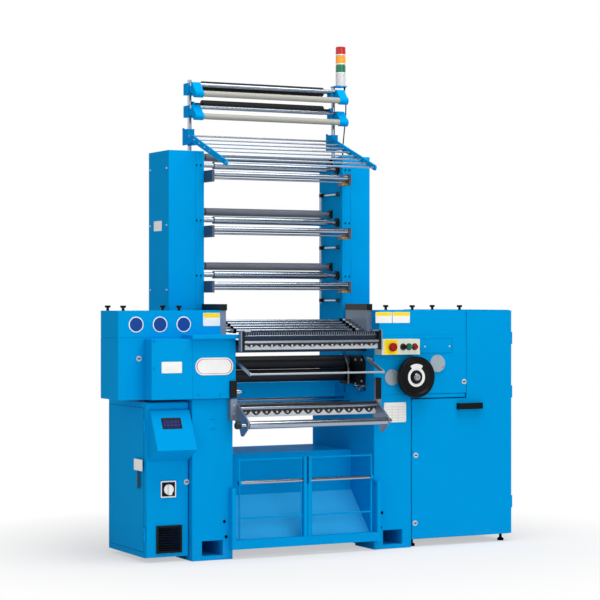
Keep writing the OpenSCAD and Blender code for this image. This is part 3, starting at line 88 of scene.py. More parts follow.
class PaintSettings(bpy.types.PropertyGroup):
    """Colours of the machine's coats, metals and plastics."""

    blue: colour("Blue coat", "Satin coat of frames, heads, towers and cabinets", (0.0, 0.58, 0.84))
    # Painted sheen: the chute has the frames' blue coat; this lighter blue stands in for the reflection and light
    # it catches.
    chute: colour("Chute", "Lighter coat of the sloped chute in the cloth tray", (0.2, 0.68, 0.92))
    cream: colour("Cream coat", "Coat of the control box", (0.83, 0.85, 0.79))
    tube: colour("Tube coat", "Coat of the tension tubes", (0.64, 0.64, 0.61))
    grey: colour("Grey primer", "Primer of the drive motor", (0.6, 0.62, 0.64))
    black: colour("Black parts", "Moulded and coated black parts", (0.035, 0.04, 0.05))
    # Partly painted highlight: this grey is lighter than the rubber itself, so that it also stands in for the
    # broad highlight on the rubber rollers.
    rubber: colour("Rubber", "Covers of the rubber rollers", (0.43, 0.45, 0.49))
    foam: colour("Foam", "Covers of the foam rollers", (0.07, 0.07, 0.075))
    chrome: colour("Chrome", "Polished plate on rollers and rods", (0.66, 0.7, 0.75))
    steel: colour("Steel", "Ground steel of shafts, bars and bolts", (0.74, 0.77, 0.79))
    zinc: colour("Zinc", "Locks and panel screws", (0.78, 0.8, 0.82))
    red: colour("Red", "Top lens of the signal lamp and the oval plate's line", (0.74, 0.06, 0.09))
    button_red: colour("Button red", "Emergency stop and stop button", (0.6, 0.05, 0.06))
    green: colour("Green", "Start button and the low lens", (0.0, 0.45, 0.32))
    amber: colour("Amber", "Middle lens", (0.97, 0.62, 0.06))
    white: colour("White", "White plastic and plate fields", (0.93, 0.93, 0.92))
    yellow: colour("Yellow", "Fields of the yellow plates", (0.98, 0.85, 0.1))
    plate_line: colour("Plate line", "Lines of the data plate", (0.72, 0.62, 0.55))
    sign_blue: colour("Sign blue", "Round signs on the left lid", (0.02, 0.25, 0.56))


class FittingSettings(bpy.types.PropertyGroup):
    """Sizes of the added fittings."""

    sign_d: length("Round sign", "Diameter of each round sign", 0.072)
    oval_w: length("Oval plate width", "Width of the oval plate on the front cover", 0.19)
    oval_h: length("Oval plate height", "Height of the oval plate on the front cover", 0.08)
    plate_t: length("Plate thickness", "Thickness of signs and label plates", 0.0012)
    lock_d: length("Lock", "Diameter of a quarter-turn lock", 0.026)
    screw_d: length("Screw", "Diameter of a cover screw's head", 0.011)
    sheet_bevel: length("Sheet edge", "Rounding of folded sheet edges", 0.0025)
    solid_bevel: length("Solid edge", "Rounding of machined edges", 0.0008)


class StageSettings(bpy.types.PropertyGroup):
    """Camera and studio."""

    camera_place: FloatVectorProperty(
        name="Camera",
        description="Place of the camera",
        default=(-4.380, -8.590, 1.204),
        size=3,
        subtype="XYZ",
        unit="LENGTH",
    )
    turn: FloatProperty(
        name="Turn",
        description="Heading of the camera, from straight at the front",
        default=math.radians(-26.88),
        subtype="ANGLE",
    )
    lens: FloatProperty(name="Lens", description="Focal length in millimetres", default=119.2, min=10.0)
    lift: FloatProperty(name="Lift", description="Vertical shift of the picture, in widths", default=-0.0018)
    floor_size: length("Floor", "Width of the floor", 40.0)
    floor_tone: portion("Floor tone", "Brightness of the floor", 0.78)
    unlit: portion("Unlit side", "Darkness of the studio ahead of the machine and above it", 0.85)
    fill: FloatProperty(name="Fill", description="Strength of the light from all round", default=0.38, min=0.0)


def settings(group):
    """One of the three property groups on the scene."""
    return getattr(bpy.context.scene, "crochet_" + group)


# Shader expressions


class Value:
    """A node's output. Python's operators on it add Math nodes."""

    def __init__(self, finish, socket):
        self.finish = finish
        self.socket = socket

    def math(self, operation, *values):
        """One Math node."""
        return self.finish.node("ShaderNodeMath", {"operation": operation}, dict(enumerate(values)))

    def __add__(self, other):
        return self.math("ADD", self, other)

    __radd__ = __add__

    def __mul__(self, other):
        return self.math("MULTIPLY", self, other)

    __rmul__ = __mul__

    def __sub__(self, other):
        return self.math("SUBTRACT", self, other)

    def __rsub__(self, other):
        return self.math("SUBTRACT", other, self)

    def __truediv__(self, other):
        return self.math("DIVIDE", self, other)

    def __gt__(self, other):
        return self.math("GREATER_THAN", self, other)

    def __lt__(self, other):
        return self.math("LESS_THAN", self, other)

    def __abs__(self):
        return self.math("ABSOLUTE", self)

    def sine(self):
        return self.math("SINE", self)

    def fraction(self):
        return self.math("FRACT", self)

    def larger(self, other):
        return self.math("MAXIMUM", self, other)

    def clamped(self):
        return self.math("MINIMUM", self, 1.0).larger(0.0)


class Nodes:
    """A node tree, whose nodes are all added by node()."""

    def __init__(self, tree):
        self.tree = tree
        self.tree.nodes.clear()

    def fill(self, socket, value):
        """Sets a socket, or links it to a value."""
        if isinstance(value, Value):
            self.tree.links.new(value.socket, socket)
        elif hasattr(value, "__len__") and len(value) == 3 and socket.type == "RGBA":
            socket.default_value = (*value, 1.0)
        else:
            socket.default_value = value

    def node(self, kind, options, inputs, output=0):
        """Adds a node: its options first, then its sockets; gives one of its outputs, if it has any."""
        node = self.tree.nodes.new(kind)
        for key, value in options.items():
            setattr(node, key, value)
        for key, value in inputs.items():
            self.fill(node.inputs[key], value)
        return Value(self, node.outputs[output]) if node.outputs else None

    def seen(self):
        """1 for a ray that shows the surroundings: from the camera, off a mirror or through glass."""
        camera = self.node("ShaderNodeLightPath", {}, {}, "Is Camera Ray")
        outputs = camera.socket.node.outputs
        mirror, through = Value(self, outputs["Is Glossy Ray"]), Value(self, outputs["Is Transmission Ray"])
        return (camera + mirror + through).clamped()


class Finish(Nodes):
    """A material with one Principled shader."""

    def __init__(self, name):
        self.material = bpy.data.materials.new(name)
        self.material.use_nodes = True
        super().__init__(self.material.node_tree)
        surface = self.node("ShaderNodeBsdfPrincipled", {}, {}, "BSDF")
        self.shader = surface.socket.node
        self.node("ShaderNodeOutputMaterial", {}, {"Surface": surface})
        self.place = self.node("ShaderNodeTexCoord", {}, {}, "Object")
        self.axes = None

    def xyz(self):
        """The three coordinates of a point of the piece at rest."""
        if self.axes is None:
            split = self.node("ShaderNodeSeparateXYZ", {}, {"Vector": self.place}, "X").socket.node
            self.axes = [Value(self, split.outputs[axis]) for axis in "XYZ"]
        return self.axes

    def noise(self, scale, detail=2.0, stretch=(1.0, 1.0, 1.0)):
        """Noise over the piece, with scale in features per metre."""
        scales = tuple(scale * part for part in stretch)
        stretched = self.node("ShaderNodeVectorMath", {"operation": "MULTIPLY"}, {0: self.place, 1: scales})
        return self.node("ShaderNodeTexNoise", {}, {"Vector": stretched, "Scale": 1.0, "Detail": detail}, "Fac")

    def mix(self, share, first, second):
        """A colour between two others, which are sockets 6 and 7 of a Mix node; its colour output is the third."""
        options = {"data_type": "RGBA", "clamp_factor": True}
        return self.node("ShaderNodeMix", options, {"Factor": share, 6: first, 7: second}, 2)

    def bump(self, height, strength, distance):
        """Surface relief from a height."""
        inputs = {"Height": height, "Strength": strength, "Distance": distance}
        self.set(Normal=self.node("ShaderNodeBump", {}, inputs, "Normal"))

    def inside(self, low, high):
        """A mask that is 1 inside a box of the piece at rest; None leaves a side open."""
        sides = [axis > start for axis, start in zip(self.xyz(), low) if start is not None]
        sides += [axis < end for axis, end in zip(self.xyz(), high) if end is not None]
        return math.prod(sides[1:], start=sides[0])

    def patched(self, tone, metal, roughness, zones):
        """Colour, metal share and roughness with zones laid over them; a zone is two corners and these three."""
        for low, high, zone_tone, zone_metal, zone_roughness in zones:
            mask = self.inside(low, high)
            tone = self.mix(mask, tone, zone_tone)
            if zone_metal != metal:
                metal = mask * (zone_metal - metal) + metal
            roughness = mask * (zone_roughness - roughness) + roughness
        return tone, metal, roughness

    def set(self, **sockets):
        """Fills the shader's sockets; an underscore stands for a space."""
        for key, value in sockets.items():
            self.fill(self.shader.inputs[key.replace("_", " ")], value)


def linear(tone):
    """A display colour as light."""
    return tuple(Color(tone).from_srgb_to_scene_linear())


def shade(tone, factor):
    """A lighter or darker tone of a linear colour."""
    return tuple(min(1.0, channel * factor) for channel in tone)


# Places


def plan(x, y, z):
    """A place from the middle of the opening, the side frames' front and the floor; None stays open."""
    left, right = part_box("left_frame"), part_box("right_frame")
    origin = ((left[1].x + right[0].x) / 2, left[0].y, 0.0)
    return tuple(None if value is None else value + start for value, start in zip((x, y, z), origin))


def on_front(node, across, up, y=None):
    """A place ahead of a node, from the lower left corner of its box; y is its front face unless given."""
    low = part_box(node)[0]
    return Vector((low.x + across, low.y if y is None else y, low.z + up))


def middle(node):
    """The middle of a node's box."""
    low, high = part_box(node)
    return (low + high) / 2


def cover_face():
    """The front face of the raised left cover."""
    proud = 0.02
    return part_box("left_frame")[0].y - proud


EYELET_COUNT = 13
EYELET_MARGIN = 0.01


def eyelet_rows():
    """Ends, depth and height of the two rows of eyelets."""
    left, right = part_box("left_frame")[1].x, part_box("right_frame")[0].x
    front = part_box("left_frame")[0].y
    return {
        "upper_eyelets": (left + 0.022, right - 0.022, front - 0.079, 0.987),
        "lower_eyelets": (left + 0.014, right - 0.008, front - 0.0307, 0.677),
    }


def eyelet_pitch(start, end):
    """Distance between the eyelets of a row."""
    return (end - start - 2 * EYELET_MARGIN) / EYELET_COUNT


# Finishes


def enamel(name, tone, zones=(), roughness=0.42, gloss=0.005):
    """Satin enamel on sheet: soft colour drift, orange peel, and a little dust and wear near the floor."""
    finish = Finish(name)
    scuff_height, dust = 0.1, linear((0.62, 0.66, 0.68))
    low_down = (1.0 - finish.xyz()[2] / scuff_height).clamped()
    scuffs = (finish.noise(60.0, 4.0) - 0.52).clamped() * low_down
    body = finish.mix(finish.noise(1.6), shade(tone, 0.95), shade(tone, 1.05))
    worn = finish.mix(scuffs * 0.35, body, dust)
    tone, metal, roughness = finish.patched(worn, 0.0, roughness + 0.1 * finish.noise(9.0) + scuffs, zones)
    finish.set(Base_Color=tone, Metallic=metal, Roughness=roughness, Specular_IOR_Level=gloss)
    finish.bump(finish.noise(260.0), 0.1, 0.0005)
    return finish


def plated(name, tone, zones=(), roughness=0.12):
    """Bright plate, faintly ground along the bar."""
    finish = Finish(name)
    grind = finish.noise(120.0, 2.0, (0.02, 1.0, 1.0))
    plate = finish.mix(finish.noise(3.0), shade(tone, 0.9), tone)
    tone, metal, roughness = finish.patched(plate, 1.0, roughness + 0.08 * grind, zones)
    finish.set(Base_Color=tone, Metallic=metal, Roughness=roughness)
    finish.bump(grind, 0.01, 0.0002)
    return finish


def ground_steel(name, tone, roughness=0.32):
    """Ground steel with fine marks along x."""
    finish = Finish(name)
    marks = finish.noise(900.0, 3.0, (0.02, 1.0, 1.0))
    stained = finish.mix(finish.noise(7.0, 3.0), shade(tone, 0.78), tone)
    finish.set(Base_Color=stained, Metallic=1.0, Roughness=roughness + 0.2 * marks)
    finish.bump(marks, 0.08, 0.0003)
    return finish


def grey_steel(name, tone, metal, roughness, zones, gloss=0.2):
    """Bare or plated steel of one tone, with zones of other finishes."""
    finish = Finish(name)
    cloud = finish.noise(10.0)
    clouded = finish.mix(cloud, shade(tone, 0.82), tone)
    tone, metal, roughness = finish.patched(clouded, metal, roughness, zones)
    finish.set(Base_Color=tone, Metallic=metal, Roughness=roughness + 0.1 * cloud, Specular_IOR_Level=gloss)
    finish.bump(finish.noise(500.0), 0.06, 0.0004)
    return finish


def moulded(name, tone, roughness=0.38, gloss=0.15):
    """Moulded plastic with a fine grain."""
    finish = Finish(name)
    cloud = finish.noise(14.0)
    clouded = finish.mix(cloud, shade(tone, 0.88), shade(tone, 1.08))
    finish.set(Base_Color=clouded, Roughness=roughness + 0.12 * cloud, Specular_IOR_Level=gloss)
    finish.bump(finish.noise(700.0), 0.1, 0.0004)
    return finish


def ground_rubber(name, tone, zones=(), roughness=0.34, gloss=0.25):
    """Rubber cover ground round the roller, with chalky wear."""
    finish = Finish(name)
    chalk = finish.noise(26.0, 4.0, (0.3, 1.0, 1.0))
    rings = finish.noise(1500.0, 2.0, (1.0, 0.05, 0.05))
    cover = finish.mix(chalk, shade(tone, 0.7), shade(tone, 1.25))
    tone, metal, roughness = finish.patched(cover, 0.0, roughness + 0.15 * chalk, zones)
    finish.set(Base_Color=tone, Metallic=metal, Roughness=roughness, Specular_IOR_Level=gloss)
    finish.bump(rings, 0.15, 0.0004)
    return finish


def primer(name, tone):
    """Grey primer over a cast skin."""
    finish = Finish(name)
    skin = finish.node("ShaderNodeTexVoronoi", {}, {"Vector": finish.place, "Scale": 220.0}, "Distance")
    finish.set(Base_Color=finish.mix(finish.noise(11.0), shade(tone, 0.85), tone), Roughness=0.5 + 0.1 * skin)
    finish.bump(skin, 0.2, 0.0006)
    return finish


def lamp_finish():
    """Silver base and three ribbed lenses of the signal lamp, parted by white rings, read from its height."""
    paint = settings("paint")
    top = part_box("signal_lamp")[1].z
    lens_h, ring_h, rib = 0.045, 0.007, 0.0035
    finish = Finish("signal_lamp")
    height = finish.xyz()[2]
    tone = linear((0.8, 0.8, 0.8))
    rings = 0.0
    for count, name in ((3, "green"), (2, "amber"), (1, "red")):
        foot = top - count * lens_h
        tone = finish.mix(height > foot, tone, linear(getattr(paint, name)))
        rings = (height > foot) * (height < foot + ring_h) + rings
    lenses = height > top - 3 * lens_h
    finish.set(
        Base_Color=finish.mix(rings, tone, linear(paint.white)),
        Roughness=0.18 + 0.1 * finish.noise(20.0),
        Coat_Weight=0.3 * lenses,
    )
    finish.bump((height * (2 * math.pi / rib)).sine() * lenses, 0.25, 0.0008)
    return finish.material


def eyelet_finish():
    """Black scalloped plates on bare strips; the lower strip's black scallops are drawn on its upper half."""
    finish = Finish("eyelet_plates")
    x, _, z = finish.xyz()
    start, end = eyelet_rows()["lower_eyelets"][:2]
    valley, lobe = plan(0, 0, 0.684)[2], 0.02
    wave = (x - (start + EYELET_MARGIN)) * (math.pi / eyelet_pitch(start, end))
    edge = valley - abs(wave.sine()) * lobe
    upper = finish.inside(plan(None, -0.07585, 0.96), plan(None, None, 0.9925))
    lower = finish.inside(plan(None, -0.03085, 0.6), plan(None, None, 0.6965)) * (z < edge)
    cloud = finish.noise(12.0)
    tone = finish.mix(upper, linear(settings("paint").black), linear((0.74, 0.77, 0.8)))
    tone = finish.mix(lower, tone, linear((0.84, 0.85, 0.87)))
    finish.set(Base_Color=finish.mix(cloud * 0.15, tone, (0.0, 0.0, 0.0)), Roughness=0.35 + 0.1 * cloud)
    finish.bump(finish.noise(500.0), 0.05, 0.0003)
    return finish.material


def screen_finish():
    """Dark glossy panel with a lit field of plain touch keys."""
    low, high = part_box("touch_screen")
    rim, columns, rows = 0.008, 5.0, 4.0
    edge_tone, field_tone, key_tone = (0.08, 0.08, 0.1), (0.1, 0.12, 0.33), (0.45, 0.5, 0.72)
    finish = Finish("touch_screen")
    x, _, z = finish.xyz()
    across = (x - low.x) / (high.x - low.x)
    up = (z - low.z) / (high.z - low.z)
    field = finish.inside((low.x + rim, None, low.z + rim), (high.x - rim, None, high.z - rim))
    column, row = (across * columns).fraction(), (up * rows).fraction()
    key = (column > 0.2) * (column < 0.8) * (row > 0.25) * (row < 0.75) * (up < 0.75) * field
    tone = finish.mix(field, linear(edge_tone), linear(field_tone))
    lit = finish.mix(key * 0.12, tone, linear(key_tone))
    finish.set(Base_Color=lit, Roughness=0.12 + 0.05 * finish.noise(30.0))
    return finish.material


SPECIAL_FINISHES = {"signal_lamp": lamp_finish, "touch_screen": screen_finish, "eyelet_plates": eyelet_finish}
STEEL_GREY = (0.5, 0.55, 0.62)


def zone(low, high, tone, metal, roughness):
    """A box of plan places with the finish of what lies in it."""
    return plan(*low), plan(*high), linear(tone), metal, roughness


def zone_table():
    """The zones of each solid that has more than one finish."""
    paint = settings("paint")
    dark = tuple(paint.black)
    clamp, brass, disc = (0.82, 0.85, 0.88), (0.72, 0.53, 0.2), (0.64, 0.7, 0.73)
    cover, journal, slot_shade_blue = (0.075, 0.08, 0.1), (0.4, 0.42, 0.45), (0.0, 0.3, 0.5)
    takedown = [
        zone((None, None, None), (0.3455, None, None), cover, 0.0, 0.4),
        zone((0.3455, None, None), (None, None, None), journal, 0.8, 0.4),
    ]
    return {
        "bar_brackets": [
            zone((None, None, 1.1505), (None, None, None), dark, 0.0, 0.35),
            zone((0.392, None, None), (None, 0.0695, None), dark, 0.0, 0.4),
        ],
        "rack_arms": [
            zone((None, None, 0.7455), (-0.3685, None, None), dark, 0.0, 0.4),
            zone((0.3745, None, 0.7235), (None, None, None), dark, 0.0, 0.4),
        ],
        "needle_bed": [
            zone((-0.352, None, None), (0.352, -0.0762, None), paint.chrome, 1.0, 0.15),
            zone((-0.366, None, 0.966), (-0.3522, -0.053, 1.0519), dark, 0.0, 0.4),
            zone((0.3522, None, 0.966), (0.366, -0.053, 1.0519), dark, 0.0, 0.4),
            zone((None, None, None), (-0.366, -0.05, None), STEEL_GREY, 0.6, 0.3),
            zone((0.366, None, None), (None, -0.05, None), STEEL_GREY, 0.6, 0.3),
        ],
        "feed_bearings": [
            zone((None, 0.35, 1.0), (None, None, None), dark, 0.0, 0.45),
            zone((0.337, 0.238, 1.0), (0.3615, 0.2595, None), brass, 1.0, 0.3),
            zone((None, None, None), (None, None, 1.0), dark, 0.0, 0.45),
            zone((0.25, 0.03, 0.73), (0.3635, 0.165, 0.8), clamp, 0.5, 0.25),
            zone((-0.3635, 0.03, 0.73), (-0.25, 0.165, 0.8), clamp, 0.5, 0.25),
        ],
        "right_head": [zone((None, None, None), (None, -0.0022, None), disc, 0.3, 0.4)],
        "right_cabinet": [
            zone((None, None, None), (None, None, 0.0355), dark, 0.0, 0.5),
            zone((0.6, 0.2, 0.09), (1.13, 0.6135, 0.66), STEEL_GREY, 0.0, 0.5),
        ],
        "control_cabinet": [zone((-0.775, 0.15, 0.075), (-0.594, 0.4965, 0.68), STEEL_GREY, 0.0, 0.5)],
        # Painted sheen: the chute's face is coloured lighter than the blue coat to stand in for the reflection it
        # catches.
        "cloth_tray": [zone((None, None, None), (None, 0.2305, 0.27), paint.chute, 0.0, 0.3)],
        "tray_gate": [
            # Painted shade: a darker copy of the blue coat along the centre post's slot, where shade falls in it.
            zone((-0.006, None, 0.335), (0.006, None, None), slot_shade_blue, 0.0, 0.5),
            zone((-0.0015, None, 0.088), (0.0015, None, 0.335), slot_shade_blue, 0.0, 0.5),
        ],
        "control_box": [zone((0.5895, None, None), (None, None, None), dark, 0.0, 0.5)],
        "rack_roller": [zone((None, None, None), (-0.3965, None, None), dark, 0.0, 0.4)],
        "takedown_roller_1": takedown,
        "takedown_roller_2": takedown,
    }


def steel_table():
    """Tone, metal share and roughness of the steels that aren't ground bright."""
    return {
        "bar_brackets": (STEEL_GREY, 0.2, 0.4),
        "rack_arms": (STEEL_GREY, 0.6, 0.32),
        "needle_bed": ((0.2, 0.25, 0.32), 0.8, 0.35),
        "needle_bar": ((0.17, 0.21, 0.28), 0.8, 0.35),
        "feed_bearings": ((0.36, 0.39, 0.44), 0.7, 0.35),
    }


def cover_table():
    """Maker, colour and roughness of the roller covers and tubes that have a tone of their own."""
    paint = settings("paint")
    return {
        "tension_tubes": (enamel, paint.tube, 0.42),
        # The rubber rollers take the rubber grey, which is partly painted highlight.
        **{f"rubber_roller_{i}": (ground_rubber, paint.rubber, 0.26) for i in (1, 2, 3)},
        **{f"foam_roller_{i}": (ground_rubber, paint.foam, 0.55) for i in (1, 2)},
    }


def coat_table():
    """Maker and colour of each slot."""
    paint = settings("paint")
    seam_share = 0.55
    return {
        "painted_blue": (enamel, paint.blue),
        "seam_blue": (enamel, tuple(channel * seam_share for channel in paint.blue)),
        "cream_paint": (enamel, paint.cream),
        "black_metal": (enamel, paint.black),
        "chrome_plate": (plated, paint.chrome),
        "machined_steel": (ground_steel, paint.steel),
        "black_plastic": (moulded, paint.black),
        "red_plastic": (moulded, paint.button_red),
        "red_line": (moulded, paint.red),
        "zinc": (moulded, paint.zinc),
        "plate_line": (moulded, paint.plate_line),
        "green_plastic": (moulded, paint.green),
        "white_plastic": (moulded, paint.white),
        "yellow_plate": (moulded, paint.yellow),
        "sign_plate": (moulded, paint.sign_blue),
        # The rubber grey here is partly painted highlight.
        "black_rubber": (ground_rubber, paint.rubber),
        "cast_grey": (primer, paint.grey),
    }


FINISHES = {}


def finish_of(slot):
    """The material of a slot, made once."""
    if slot not in FINISHES:
        maker, tone = coat_table()[slot]
        FINISHES[slot] = maker(slot, linear(tone)).material
    return FINISHES[slot]


def solid_finish(node, slot):
    """The material of a solid: one of its own, or its slot's."""
    zones, steels, covers = zone_table().get(node, ()), steel_table(), cover_table()
    if node in SPECIAL_FINISHES:
        return SPECIAL_FINISHES[node]()
    if node in covers:
        maker, tone, roughness = covers[node]
        return maker(node, linear(tone), roughness=roughness).material
    if node in steels:
        tone, metal, roughness = steels[node]
        return grey_steel(node, linear(tone), metal, roughness, zones).material
    if zones:
        maker, tone = coat_table()[slot]
        return maker(node, linear(tone), zones).material
    return finish_of(slot)


# Mesh building


def facing(point, way):
    """A matrix that stands local +z on a point, out along way, with local y up or, for way up, to the back."""
    out = Vector(way).normalized()
    top = Vector((0, 1, 0)) if abs(out.z) > 0.9 else Vector((0, 0, 1))
    across = top.cross(out).normalized()
    top = out.cross(across)
    turn = Matrix((across, top, out)).transposed().to_4x4()
    return Matrix.Translation(point) @ turn


def skin(bm, rings, material=0):
    """Joins rings of vertices, one after the other."""
    for first, second in zip(rings, rings[1:]):
        for i in range(len(first)):
            j = (i + 1) % len(first)
            bm.faces.new((first[i], first[j], second[j], second[i])).material_index = material


def cap(bm, rings, material=0):
    """Closes the two ends of a skin."""
    for ring in (rings[0], rings[-1]):
        bm.faces.new(ring).material_index = material


def add_lathe(bm, profile, place, steps=40, material=0):
    """Spins a profile of (radius, height) points about local z."""
    rings = []
    for radius, height in profile:
        count = steps if radius > 0 else 1
        angles = [2 * math.pi * i / count for i in range(count)]
        points = [Vector((radius * math.cos(a), radius * math.sin(a), height)) for a in angles]
        rings.append([bm.verts.new(place @ p) for p in points])
    for low, high in zip(rings, rings[1:]):
        for i in range(steps):
            j = (i + 1) % steps
            corners = [low[i % len(low)], low[j % len(low)], high[j % len(high)], high[i % len(high)]]
            unique = list(dict.fromkeys(corners))
            if len(unique) > 2:
                bm.faces.new(unique).material_index = material


def add_ring(bm, profile, place, steps, material=0):
    """Spins a closed profile about local z."""
    add_lathe(bm, profile + profile[:1], place, steps, material)


def add_plate(bm, outline, depth, place, material=0, border=0.0, field_material=0):
    """A flat plate with a chamfered rim; with a border, the field inside it takes another material."""
    chamfer = depth * 0.4
    centre = sum((Vector((*p, 0)) for p in outline), Vector()) / len(outline)

    def ring(height, inset):
        arms = [Vector((*p, 0)) - centre for p in outline]
        points = [centre + arm * (1 - inset / arm.length) + Vector((0, 0, height)) for arm in arms]
        return [bm.verts.new(place @ point) for point in points]

    rings = [ring(0, 0), ring(depth - chamfer, 0), ring(depth, chamfer)]
    if border > 0:
        rings.append(ring(depth, border))
    skin(bm, rings, material)
    bm.faces.new(rings[-1]).material_index = field_material if border > 0 else material
    bm.faces.new(reversed(rings[0])).material_index = material


def add_sheet(bm, outline, depth, place):
    """A flat sheet of any outline, extruded along local z."""
    low, high = ([bm.verts.new(place @ Vector((*p, height))) for p in outline] for height in (0, depth))
    skin(bm, [low, high])
    cap(bm, [low, high])


def add_bar(bm, start, end, radius, steps=14):
    """A round bar between two points, with chamfered ends."""
    start, end = Vector(start), Vector(end)
    span = (end - start).length
    chamfer = radius * 0.25
    first = [(0, 0), (radius - chamfer, 0), (radius, chamfer)]
    last = [(radius, span - chamfer), (radius - chamfer, span), (0, span)]
    add_lathe(bm, first + last, facing(start, end - start), steps)


def rectangle(w, h, corner=0.004, steps=4):
    """A rounded rectangle's outline about its middle."""
    points = []
    for sx, sy, start in ((1, 1, 0), (-1, 1, 90), (-1, -1, 180), (1, -1, 270)):
        centre_x, centre_y = sx * (w / 2 - corner), sy * (h / 2 - corner)
        for i in range(steps + 1):
            a = math.radians(start + 90 * i / steps)
            points.append((centre_x + corner * math.cos(a), centre_y + corner * math.sin(a)))
    return points


def circle(diameter, steps=64):
    """A circle's outline about its middle."""
    angles = [2 * math.pi * i / steps for i in range(steps)]
    return [(diameter / 2 * math.cos(a), diameter / 2 * math.sin(a)) for a in angles]


def piece(name, bm, slots, body, smooth=40.0):
    """Makes an object of a mesh, with the finishes of its slots, and rides it on a body."""
    bmesh.ops.recalc_face_normals(bm, faces=bm.faces)
    mesh = bpy.data.meshes.new(name)
    bm.to_mesh(mesh)
    bm.free()
    mesh.polygons.foreach_set("use_smooth", [True] * len(mesh.polygons))
    mesh.set_sharp_from_angle(angle=math.radians(smooth))
    for slot in slots:
        mesh.materials.append(finish_of(slot))
    made = bpy.data.objects.new(name, mesh)
    bpy.context.scene.collection.objects.link(made)
    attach(made, body)
    return made


# Operators


class MACHINE_OT_paint(bpy.types.Operator):
    """Give each solid its finish and its soft edges."""

    bl_idname = "crochet.paint"
    bl_label = "Paint the solids"

    def execute(self, context):
        fittings = settings("fittings")
        weld_reach, fold = 1e-5, math.radians(40)
        slot_of = {part["node"]: part["material_slot"] for part in frame["record"]["subparts"]}
        for node, solid in frame["nodes"].items():
            slot = slot_of[node]
            material = solid_finish(node, slot)
            solid.data.materials.clear()
            solid.data.materials.append(material)
            weld = solid.modifiers.new("joined_faces", "WELD")
            weld.merge_threshold = weld_reach
            bevel = solid.modifiers.new("soft_edges", "BEVEL")
            bevel.width = fittings.sheet_bevel if slot == "painted_blue" else fittings.solid_bevel
            bevel.segments = 2
            bevel.limit_method = "ANGLE"
            bevel.angle_limit = fold
            bevel.harden_normals = False
            solid.modifiers.new("even_shading", "WEIGHTED_NORMAL").keep_sharp = True
        return {"FINISHED"}


class MACHINE_OT_stage(bpy.types.Operator):
    """Set the camera, the pale floor and the soft studio light."""

    bl_idname = "crochet.stage"
    bl_label = "Set the stage"

    def execute(self, context):
        stage = settings("stage")
        scene = context.scene
        scene.view_settings.view_transform = "Standard"
        camera_data = bpy.data.cameras.new("photo_camera")
        camera_data.lens = stage.lens
        camera_data.sensor_width = 36.0
        camera_data.shift_y = stage.lift
        camera = bpy.data.objects.new("photo_camera", camera_data)
        camera.location = stage.camera_place
        camera.rotation_euler = (math.radians(90), 0.0, stage.turn)
        scene.collection.objects.link(camera)
        scene.camera = camera
        self.lay_floor(stage)
        self.light_world(scene, stage)
        self.hang_lamps()
        return {"FINISHED"}

    def lay_floor(self, stage):
        """A pale floor that shows the machine's shadow near it and turns white further off."""
        half = stage.floor_size / 2
        mesh = bpy.data.meshes.new("floor")
        corners = [(-half, -half, 0), (half, -half, 0), (half, half, 0), (-half, half, 0)]
        mesh.from_pydata(corners, [], [(0, 1, 2, 3)])
        floor = bpy.data.objects.new("floor", mesh)
        bpy.context.scene.collection.objects.link(floor)
        finish = Finish("pale_floor")
        finish.set(Base_Color=(stage.floor_tone,) * 3, Roughness=0.9, Specular_IOR_Level=0.1)
        reach = finish.node("ShaderNodeVectorMath", {"operation": "LENGTH"}, {0: finish.place}, "Value")
        near, far, least = 1.1, 2.0, 0.5
        away = ((reach - near) / (far - near)).clamped() * (1.0 - least) + least
        white = finish.node("ShaderNodeEmission", {}, {"Color": (1.0, 1.0, 1.0), "Strength": 1.0})
        lit = Value(finish, finish.shader.outputs["BSDF"])
        surface = finish.node("ShaderNodeMixShader", {}, {0: away * finish.seen(), 1: lit, 2: white})
        finish.node("ShaderNodeOutputMaterial", {"is_active_output": True}, {"Surface": surface})
        mesh.materials.append(finish.material)

    def light_world(self, scene, stage):
        """White for the camera; metal also shows the unlit studio ahead of the machine and above it."""
        world = bpy.data.worlds.new("studio")
        world.use_nodes = True
        scene.world = world
        nodes = Nodes(world.node_tree)
        way = nodes.node("ShaderNodeTexCoord", {}, {}, "Generated")
        back = nodes.node("ShaderNodeSeparateXYZ", {}, {"Vector": way}, "Y")
        above = Value(nodes, back.socket.node.outputs["Z"])
        ahead_rise, ahead_start, above_rise, above_start = 2.0, 0.05, 1.6, -0.3
        dark_ahead = (0.0 - back) * ahead_rise + ahead_start
        dark_above = above * above_rise + above_start
        unlit = dark_ahead.larger(dark_above).clamped() * stage.unlit
        camera = nodes.node("ShaderNodeLightPath", {}, {}, "Is Camera Ray")
        shows = nodes.seen()
        strength = shows * (1.0 - unlit * (1.0 - camera)) + stage.fill * (1.0 - shows)
        light = nodes.node("ShaderNodeBackground", {}, {"Color": (1.0, 1.0, 1.0), "Strength": strength})
        nodes.node("ShaderNodeOutputWorld", {}, {"Surface": light})

    def hang_lamps(self):
        """Three square softboxes that look at the middle of the machine."""
        target = Vector((0.0, 0.0, 1.1))
        # Name, place, width and power
        lamps = (
            ("front_softbox", (0.0, -6.5, 1.9), 5.0, 140.0),
            ("left_softbox", (-6.0, -2.5, 2.6), 4.0, 65.0),
            ("top_softbox", (0.2, -1.6, 5.6), 4.0, 235.0),
        )
        for name, place, size, power in lamps:
            data = bpy.data.lights.new(name, "AREA")
            data.shape = "SQUARE"
            data.size = size
            data.energy = power
            lamp = bpy.data.objects.new(name, data)
            lamp.location = place
            lamp.rotation_euler = (target - lamp.location).to_track_quat("-Z", "Y").to_euler()
            bpy.context.scene.collection.objects.link(lamp)


